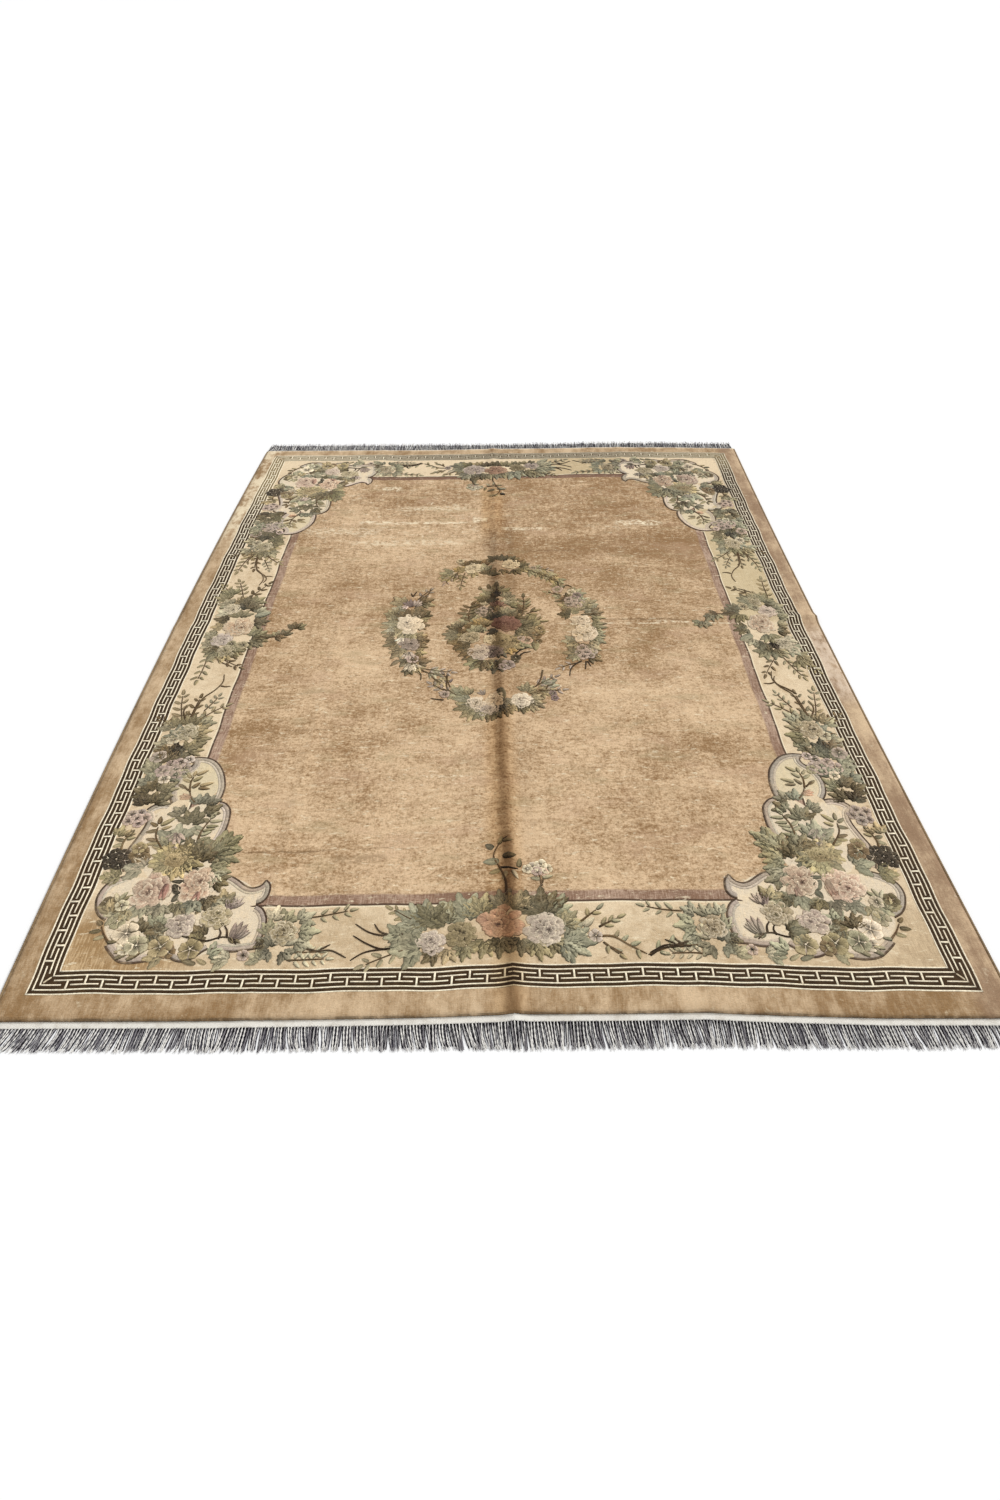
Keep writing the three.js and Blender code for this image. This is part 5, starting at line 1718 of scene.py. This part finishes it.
def make_corner_flowers(sizes):
    """The flowers in and round the cartouches of the four corners."""
    finish = carved_finish("corner_yarns", sizes, light=1.08)
    for name, mirror_y in (("near", 1), ("far", -1)):
        carving = Carving(21 + mirror_y)
        for mirror_x in (1, -1):
            carving.place(mirror_x, mirror_y, stretched=True)
            carving.bouquet(CORNER)
        add_piece(f"corner_flowers_{name}", carving.finished(), finish, "pile")


def make_border_flowers(sizes):
    """The side garlands, and the bouquets in the middle of each side and end."""
    finish = carved_finish("border_yarns", sizes)
    carving = Carving(31)
    for mirror_x, mirror_y in QUARTERS:
        carving.place(mirror_x, mirror_y, (11 if mirror_x > 0 else -6, 2), True)
        carving.bouquet(GARLAND)
    for turned, shift in ((1, (15, 4)), (-1, (7, -7))):
        carving.place(turned, turned, shift, True)
        carving.bouquet(SIDE_MIDDLE)
    add_piece("side_garlands", carving.finished(), finish, "pile")
    carving = Carving(32)
    for turned, shift in ((1, (0, -12)), (-1, (-28, -3))):
        carving.place(turned, turned, shift)
        carving.bouquet(END_MIDDLE)
    for mirror_x, mirror_y in QUARTERS:
        carving.place(mirror_x, mirror_y, stretched=True)
        carving.bouquet(END_CORNER)
    add_piece("end_bouquets", carving.finished(), finish, "pile")


def make_wreath(sizes):
    """The wreath and the bouquet inside it, in the middle of the field."""
    carving = Carving(41)
    carving.place(1, 1, (3, -7))
    carving.bouquet(WREATH)
    carving.bouquet(CENTRE)
    add_piece("wreath", carving.finished(), carved_finish("wreath_yarns", sizes, 0.16), "pile")


def tube_mesh(lines, radius, sides=0):
    """Round yarns through lines of points with their radii as shares, in metres."""
    curve = bpy.data.curves.new("yarns", "CURVE")
    curve.dimensions = "3D"
    curve.bevel_depth = radius
    curve.bevel_resolution = sides
    curve.use_fill_caps = True
    for points, radii in lines:
        spline = curve.splines.new("POLY")
        spline.points.add(len(points) - 1)
        spline.points.foreach_set("co", np.column_stack([points, np.ones(len(points))]).ravel())
        spline.points.foreach_set("radius", radii)
    holder = bpy.data.objects.new("yarns", curve)
    mesh = bpy.data.meshes.new_from_object(holder)
    bpy.data.objects.remove(holder)
    bpy.data.curves.remove(curve)
    for polygon in mesh.polygons:
        polygon.use_smooth = True
    return mesh


# The side cord: points to a wrap, the groove's radius as a share of the cord's, and how much
# shorter than the pile it is
WRAP_POINTS = 3
WRAP_GROOVE = 0.84
CORD_SHORTER = 4


def make_cords(sizes, colours):
    """The overcast cord along each long side, one ridge for each wrap."""
    f = Finish("overcast_yarn", Roughness=0.88, Specular_IOR_Level=0.2, Sheen_Weight=0.1)
    place = f.object_place()
    tone = f.noise(f.stretched(place, 1.0, 3.0), 60.0, 4.0, 0.65)
    slow = f.noise(place, 5.0)
    mixed = f.mix(f.ease(tone * 0.7 + slow * 0.6, 0.5, 0.85), colours.cord, CORD_SHADE)
    f.feed("Base Color", mixed)
    f.bumped(f.noise(f.stretched(place, 1.0, 5.0), 400.0), 0.5, 0.0008)
    wraps = int(LENGTH / (sizes.wrap_pitch / MM))
    share = np.linspace(0, 1, wraps * WRAP_POINTS + 1)
    y = (share - 0.5) * (LENGTH - CORD_SHORTER)
    radii = np.where(np.arange(len(share)) % WRAP_POINTS == 0, WRAP_GROOVE, 1.0)
    for side, name in ((-1, "left"), (1, "right")):
        x = np.full(len(y), side * (PILE_HALF_WIDTH + JOIN_GAP + CORD_WIDTH / 2))
        z = lift(np.full(len(y), side * PILE_HALF_WIDTH), y) + CORD_WIDTH / 2
        points = np.column_stack([*placed(x, y), z]) * MM
        mesh = tube_mesh([(points, radii)], CORD_WIDTH / 2 * MM, 2)
        piece = f"side_cord_{name}"
        add_piece(f"{piece}_wrapped", mesh, f.material, "side_cord", piece)


# The web's rows of weaving, and the pitches of its ribs and rows in metres
WEB_ROWS = 12
WEB_RIB = 0.0034
WEB_ROW = 0.0028


def make_webs(colours):
    """The flat-woven web at each short end."""
    f = Finish("woven_web", Roughness=0.9, Specular_IOR_Level=0.2, Sheen_Weight=0.06)
    place = f.object_place()
    x, y, _ = f.parts(place)
    ribs = (x * (math.tau / WEB_RIB)).sine()
    rows = (y * (math.tau / WEB_ROW)).sine()
    soil = f.noise(place, 24.0, 4.0, 0.65)
    mixed = f.mix(f.ease(soil, 0.42, 0.8), colours.warp, WEB_SOIL)
    f.feed("Base Color", f.shade(mixed, ribs * rows * 0.06 + 0.96))
    f.bumped(ribs * rows + soil, 0.6, 0.0008)
    xs = grid_lines(WIDTH / 2, MARKS_ACROSS, 12)
    outwards = np.linspace(0, WEB_LENGTH, WEB_ROWS + 1)
    for end, name in ((-1, "near"), (1, "far")):
        mesh, column, row, top = make_sheet(f"web_{name}", xs, outwards)
        if end < 0:
            mesh.flip_normals()
        x, _ = followed(xs[column], np.full(len(column), end * PILE_HALF_LENGTH))
        edge = (row == 0) | (row == WEB_ROWS)
        weave = 0.45 * (row % 2) - 0.3 - 0.7 * edge
        y = end * (PILE_HALF_LENGTH + JOIN_GAP + outwards[row])
        z = lift(x, np.full(len(x), end * PILE_HALF_LENGTH))
        z = z + np.where(top, WEB_THICKNESS + weave, 0)
        set_coordinates(mesh, np.column_stack([*placed(x, y), z]) * MM)
        add_piece(f"web_{name}", mesh, f.material, "warp_cotton", f"fringed_web_{name}")


# The fringe: points along a yarn, a strand's turns, how much of its neighbour's lean it takes
# on and adds, its ply lines' pitch in metres, and where yarns start, end and lie
STRAND_STEPS = 15
STRAND_TURNS = 2.6
UNDER_STEPS = 6
UNDER_YARNS = 3
CLUMP_SHARE = 0.76
CLUMP_STEP = 2.8
PLY_PITCH = 0.0024
YARN_ROOT = 2.5
YARN_PAST_SIDE = 12
YARN_FLOOR = 0.6
STRAND_HEIGHT = 1.9
UNDER_HEIGHT = 0.7


def strand_finish(colours):
    """Greyed ivory cotton with fine slanting ply lines."""
    f = Finish("fringe_cotton", Roughness=0.88, Specular_IOR_Level=0.2, Sheen_Weight=0.06)
    place = f.object_place()
    x, y, _ = f.parts(place)
    soil = f.noise(f.stretched(place, 1.0, 0.3), 30.0, 4.0, 0.6)
    strand = f.noise(f.stretched(place, 1.0, 0.04), 170.0, 2.0)
    tone = f.ease(soil * 0.5 + strand * 0.9, 0.62, 0.8)
    mixed = f.mix(tone, colours.strand, STRAND_SHADE)
    ply = ((x + y * 0.7) * (math.tau / PLY_PITCH)).sine()
    f.feed("Base Color", f.shade(mixed, ply * 0.06 + 0.96))
    f.bumped(ply + soil, 0.4, 0.0006)
    return f.material


def gap_shadow_finish(colours):
    """Dark yarns painted as the shadow in the fringe's gaps, near black at their roots under the web and
    greyer to their tips.
    """
    f = Finish("fringe_gap_shadow", Roughness=0.92, Specular_IOR_Level=0.1)
    place = f.object_place()
    _, y, _ = f.parts(place)
    strand = f.noise(f.stretched(place, 1.0, 0.05), 90.0, 3.0, 0.7)
    out = abs(y) + strand * 0.02
    tip = f.mix(f.ease(strand, 0.45, 0.62), colours.warp_shade, GAP_SHADOW_TIP)
    root = f.mix(f.ease(out, 1.556, 1.58), GAP_SHADOW_ROOT, tip)
    f.feed("Base Color", root)
    f.bumped(strand, 0.4, 0.0006)
    return f.material


def fringe_yarn(end, root, length, lean, sway, steps, across, coil, low, high):
    """A yarn's line of points from a web's edge down to the floor and out to its tip."""
    share = np.linspace(0, 1, steps)
    start = PILE_HALF_LENGTH + JOIN_GAP + WEB_LENGTH - YARN_ROOT
    x = root + lean * share**1.5 + sway * np.sin(np.pi * share) + across
    x = np.clip(x, -WIDTH / 2 - YARN_PAST_SIDE, WIDTH / 2 + YARN_PAST_SIDE)
    y = end * (start + (length + YARN_ROOT) * share)
    fall = (1 - share) ** 2
    z = (lift(root, end * PILE_HALF_LENGTH) + high) * fall + low * (1 - fall) + coil
    return np.column_stack([*placed(x, y), np.maximum(z, YARN_FLOOR)]) * MM


def make_fringes(sizes, colours):
    """Twisted strands out of each web's edge, over a flat layer of dark yarns that are painted shadow in
    their gaps.
    """
    random = np.random.default_rng(7)
    pale, dark = strand_finish(colours), gap_shadow_finish(colours)
    pitch = sizes.strand_pitch / MM
    radius = sizes.yarn_radius / MM
    share = np.linspace(0, 1, STRAND_STEPS)
    taper = np.where(share > 0.97, 0.55, 1.0)
    taper[:2] = 0.85
    spread = radius * (0.7 + 0.5 * share)
    ends = ((-1, "near", NEAR_LOCK, NEAR_LEAN), (1, "far", FAR_LOCK, FAR_LEAN))
    for end, name, locks, leans in ends:
        strands, under = [], []
        clump = 0
        for k in range(int(WIDTH / pitch)):
            clump = CLUMP_SHARE * clump + random.normal(0, CLUMP_STEP)
            root = -WIDTH / 2 + pitch * (k + 0.5) + random.uniform(-0.5, 0.5)
            length = np.interp(root, ENDS_X, locks) + random.uniform(-3, 2.5)
            lean = np.interp(root, ENDS_X, leans) + clump + random.normal(0, 1.4)
            sway = random.normal(0, 1.4)
            turns = STRAND_TURNS * random.uniform(0.8, 1.2)
            start = random.uniform(0, math.tau)
            for phase in (0, math.pi):
                angle = start + phase + math.tau * turns * share
                open_end = math.cos(phase) * random.uniform(0.2, 2.0) * share**4
                across = spread * np.cos(angle) + open_end
                coil = radius * np.sin(angle) * (1 - 0.5 * share)
                low = 2.4 * radius + (random.uniform(0, 8) if end > 0 else 0)
                line = (length, lean, sway, STRAND_STEPS, across, coil, low, STRAND_HEIGHT)
                strands.append((fringe_yarn(end, root, *line), taper))
            # Dark yarns under each strand, as painted shadow in the gaps
            for j in range(UNDER_YARNS):
                across = pitch * (j - 1) / UNDER_YARNS
                long = length * random.uniform(0.8, 0.97)
                low = radius * random.uniform(0.8, 1.1)
                line = (long, lean * 0.8, sway, UNDER_STEPS, across, 0.0, low, UNDER_HEIGHT)
                under.append((fringe_yarn(end, root, *line), np.full(UNDER_STEPS, 1.1)))
        web = f"fringed_web_{name}"
        add_piece(f"fringe_{name}", tube_mesh(strands, radius * MM), pale, "warp_cotton", web)
        mesh = tube_mesh(under, radius * MM)
        add_piece(f"fringe_under_{name}", mesh, dark, "warp_cotton", web)


# Stage

CAMERA_PLACE = (-0.0057, -2.2772, 1.6997)
CAMERA_TILT = 43.776
CAMERA_YAW = -0.021
CAMERA_ROLL = -0.18
CAMERA_LENS = 17.66
CAMERA_SENSOR = 36
FLOOR_HALF = 300.0
SKY_STRENGTH = 0.72
SUN_STRENGTH = 2.0
SUN_SPREAD = 14
SUN_TILT = (-30, 46)


def make_stage(colours):
    """Floor, light and the camera at the photograph's angle."""
    scene = bpy.context.scene
    scene.view_settings.view_transform = "Standard"
    scene.view_settings.look = "None"
    camera = bpy.data.objects.new("camera", bpy.data.cameras.new("camera"))
    bpy.context.collection.objects.link(camera)
    turn = Matrix.Rotation(math.radians(CAMERA_YAW), 4, "Z")
    turn = turn @ Matrix.Rotation(math.radians(CAMERA_TILT), 4, "X")
    turn = turn @ Matrix.Rotation(math.radians(CAMERA_ROLL), 4, "Z")
    camera.matrix_world = Matrix.Translation(CAMERA_PLACE) @ turn
    camera.data.lens = CAMERA_LENS
    camera.data.sensor_width = CAMERA_SENSOR
    camera.data.clip_start = 0.05
    camera.data.clip_end = 1000
    scene.camera = camera
    bm = bmesh.new()
    bmesh.ops.create_grid(bm, x_segments=4, y_segments=4, size=FLOOR_HALF)
    mesh = bpy.data.meshes.new("floor")
    bm.to_mesh(mesh)
    bm.free()
    floor = bpy.data.objects.new("floor", mesh)
    bpy.context.collection.objects.link(floor)
    paint = Finish("floor_paint", Roughness=0.95, Specular_IOR_Level=0.1)
    place = paint.object_place()
    grey = paint.mix(paint.noise(place, 0.8) * 0.04, colours.floor, (0.8, 0.8, 0.8))
    paint.feed("Base Color", grey)
    floor.data.materials.append(paint.material)
    world = bpy.data.worlds.new("studio")
    scene.world = world
    world.use_nodes = True
    backdrop = world.node_tree.nodes["Background"]
    backdrop.inputs["Color"].default_value = (1.0, 1.0, 1.0, 1.0)
    backdrop.inputs["Strength"].default_value = SKY_STRENGTH
    sun = bpy.data.objects.new("window_light", bpy.data.lights.new("window_light", "SUN"))
    sun.data.energy = SUN_STRENGTH
    sun.data.angle = math.radians(SUN_SPREAD)
    sun.rotation_euler = (*(math.radians(angle) for angle in SUN_TILT), 0)
    bpy.context.collection.objects.link(sun)


class RUG_OT_stage(bpy.types.Operator):
    """Add the plain floor, the light and the camera"""

    bl_idname = "rug.stage"
    bl_label = "Stage"
    bl_options = {"UNDO"}

    def execute(self, context):
        make_stage(context.scene.rug_colours)
        return {"FINISHED"}


class RUG_OT_pile(bpy.types.Operator):
    """Add the knotted pile sheet"""

    bl_idname = "rug.pile"
    bl_label = "Pile Sheet"
    bl_options = {"UNDO"}

    def execute(self, context):
        make_pile(context.scene.rug_sizes, context.scene.rug_colours)
        return {"FINISHED"}


class RUG_OT_fret(bpy.types.Operator):
    """Add the key fret's raised lines"""

    bl_idname = "rug.fret"
    bl_label = "Key Fret"
    bl_options = {"UNDO"}

    def execute(self, context):
        make_fret(context.scene.rug_sizes, context.scene.rug_colours)
        return {"FINISHED"}


class RUG_OT_scrolls(bpy.types.Operator):
    """Add the corner cartouches' scrolled outlines"""

    bl_idname = "rug.scrolls"
    bl_label = "Scroll Outlines"
    bl_options = {"UNDO"}

    def execute(self, context):
        make_scrolls(context.scene.rug_sizes)
        return {"FINISHED"}


class RUG_OT_corner_flowers(bpy.types.Operator):
    """Add the carved flowers of the four corners"""

    bl_idname = "rug.corner_flowers"
    bl_label = "Corner Flowers"
    bl_options = {"UNDO"}

    def execute(self, context):
        make_corner_flowers(context.scene.rug_sizes)
        return {"FINISHED"}


class RUG_OT_border_flowers(bpy.types.Operator):
    """Add the carved garlands and bouquets of the borders"""

    bl_idname = "rug.border_flowers"
    bl_label = "Border Flowers"
    bl_options = {"UNDO"}

    def execute(self, context):
        make_border_flowers(context.scene.rug_sizes)
        return {"FINISHED"}


class RUG_OT_wreath(bpy.types.Operator):
    """Add the carved wreath and bouquet of the middle field"""

    bl_idname = "rug.wreath"
    bl_label = "Middle Wreath"
    bl_options = {"UNDO"}

    def execute(self, context):
        make_wreath(context.scene.rug_sizes)
        return {"FINISHED"}


class RUG_OT_cords(bpy.types.Operator):
    """Add the overcast side cords"""

    bl_idname = "rug.cords"
    bl_label = "Side Cords"
    bl_options = {"UNDO"}

    def execute(self, context):
        make_cords(context.scene.rug_sizes, context.scene.rug_colours)
        return {"FINISHED"}


class RUG_OT_webs(bpy.types.Operator):
    """Add the woven end webs"""

    bl_idname = "rug.webs"
    bl_label = "End Webs"
    bl_options = {"UNDO"}

    def execute(self, context):
        make_webs(context.scene.rug_colours)
        return {"FINISHED"}


class RUG_OT_fringes(bpy.types.Operator):
    """Add the twisted fringe at both ends"""

    bl_idname = "rug.fringes"
    bl_label = "Fringes"
    bl_options = {"UNDO"}

    def execute(self, context):
        make_fringes(context.scene.rug_sizes, context.scene.rug_colours)
        return {"FINISHED"}


OPERATORS = (
    RUG_OT_stage, RUG_OT_pile, RUG_OT_fret, RUG_OT_scrolls, RUG_OT_corner_flowers,
    RUG_OT_border_flowers, RUG_OT_wreath, RUG_OT_cords, RUG_OT_webs, RUG_OT_fringes,
)


class RUG_PT_panel(bpy.types.Panel):
    """The rug's settings and operators"""

    bl_label = "Carved Floral Rug"
    bl_idname = "RUG_PT_panel"
    bl_space_type = "VIEW_3D"
    bl_region_type = "UI"
    bl_category = "Rug"

    def draw(self, context):
        for group in (context.scene.rug_sizes, context.scene.rug_colours):
            box = self.layout.box()
            for name in group.__annotations__:
                box.prop(group, name)
        for operator in OPERATORS:
            self.layout.operator(operator.bl_idname)


CLASSES = (RugSizes, RugColours, *OPERATORS, RUG_PT_panel)


def register():
    for kind in CLASSES:
        bpy.utils.register_class(kind)
    bpy.types.Scene.rug_sizes = bpy.props.PointerProperty(type=RugSizes)
    bpy.types.Scene.rug_colours = bpy.props.PointerProperty(type=RugColours)


def unregister():
    del bpy.types.Scene.rug_colours
    del bpy.types.Scene.rug_sizes
    for kind in reversed(CLASSES):
        bpy.utils.unregister_class(kind)


def main():
    register()
    for operator in OPERATORS:
        getattr(bpy.ops.rug, operator.bl_idname.split(".")[1])()
    Grid.clear()


if __name__ == "__main__":
    main()
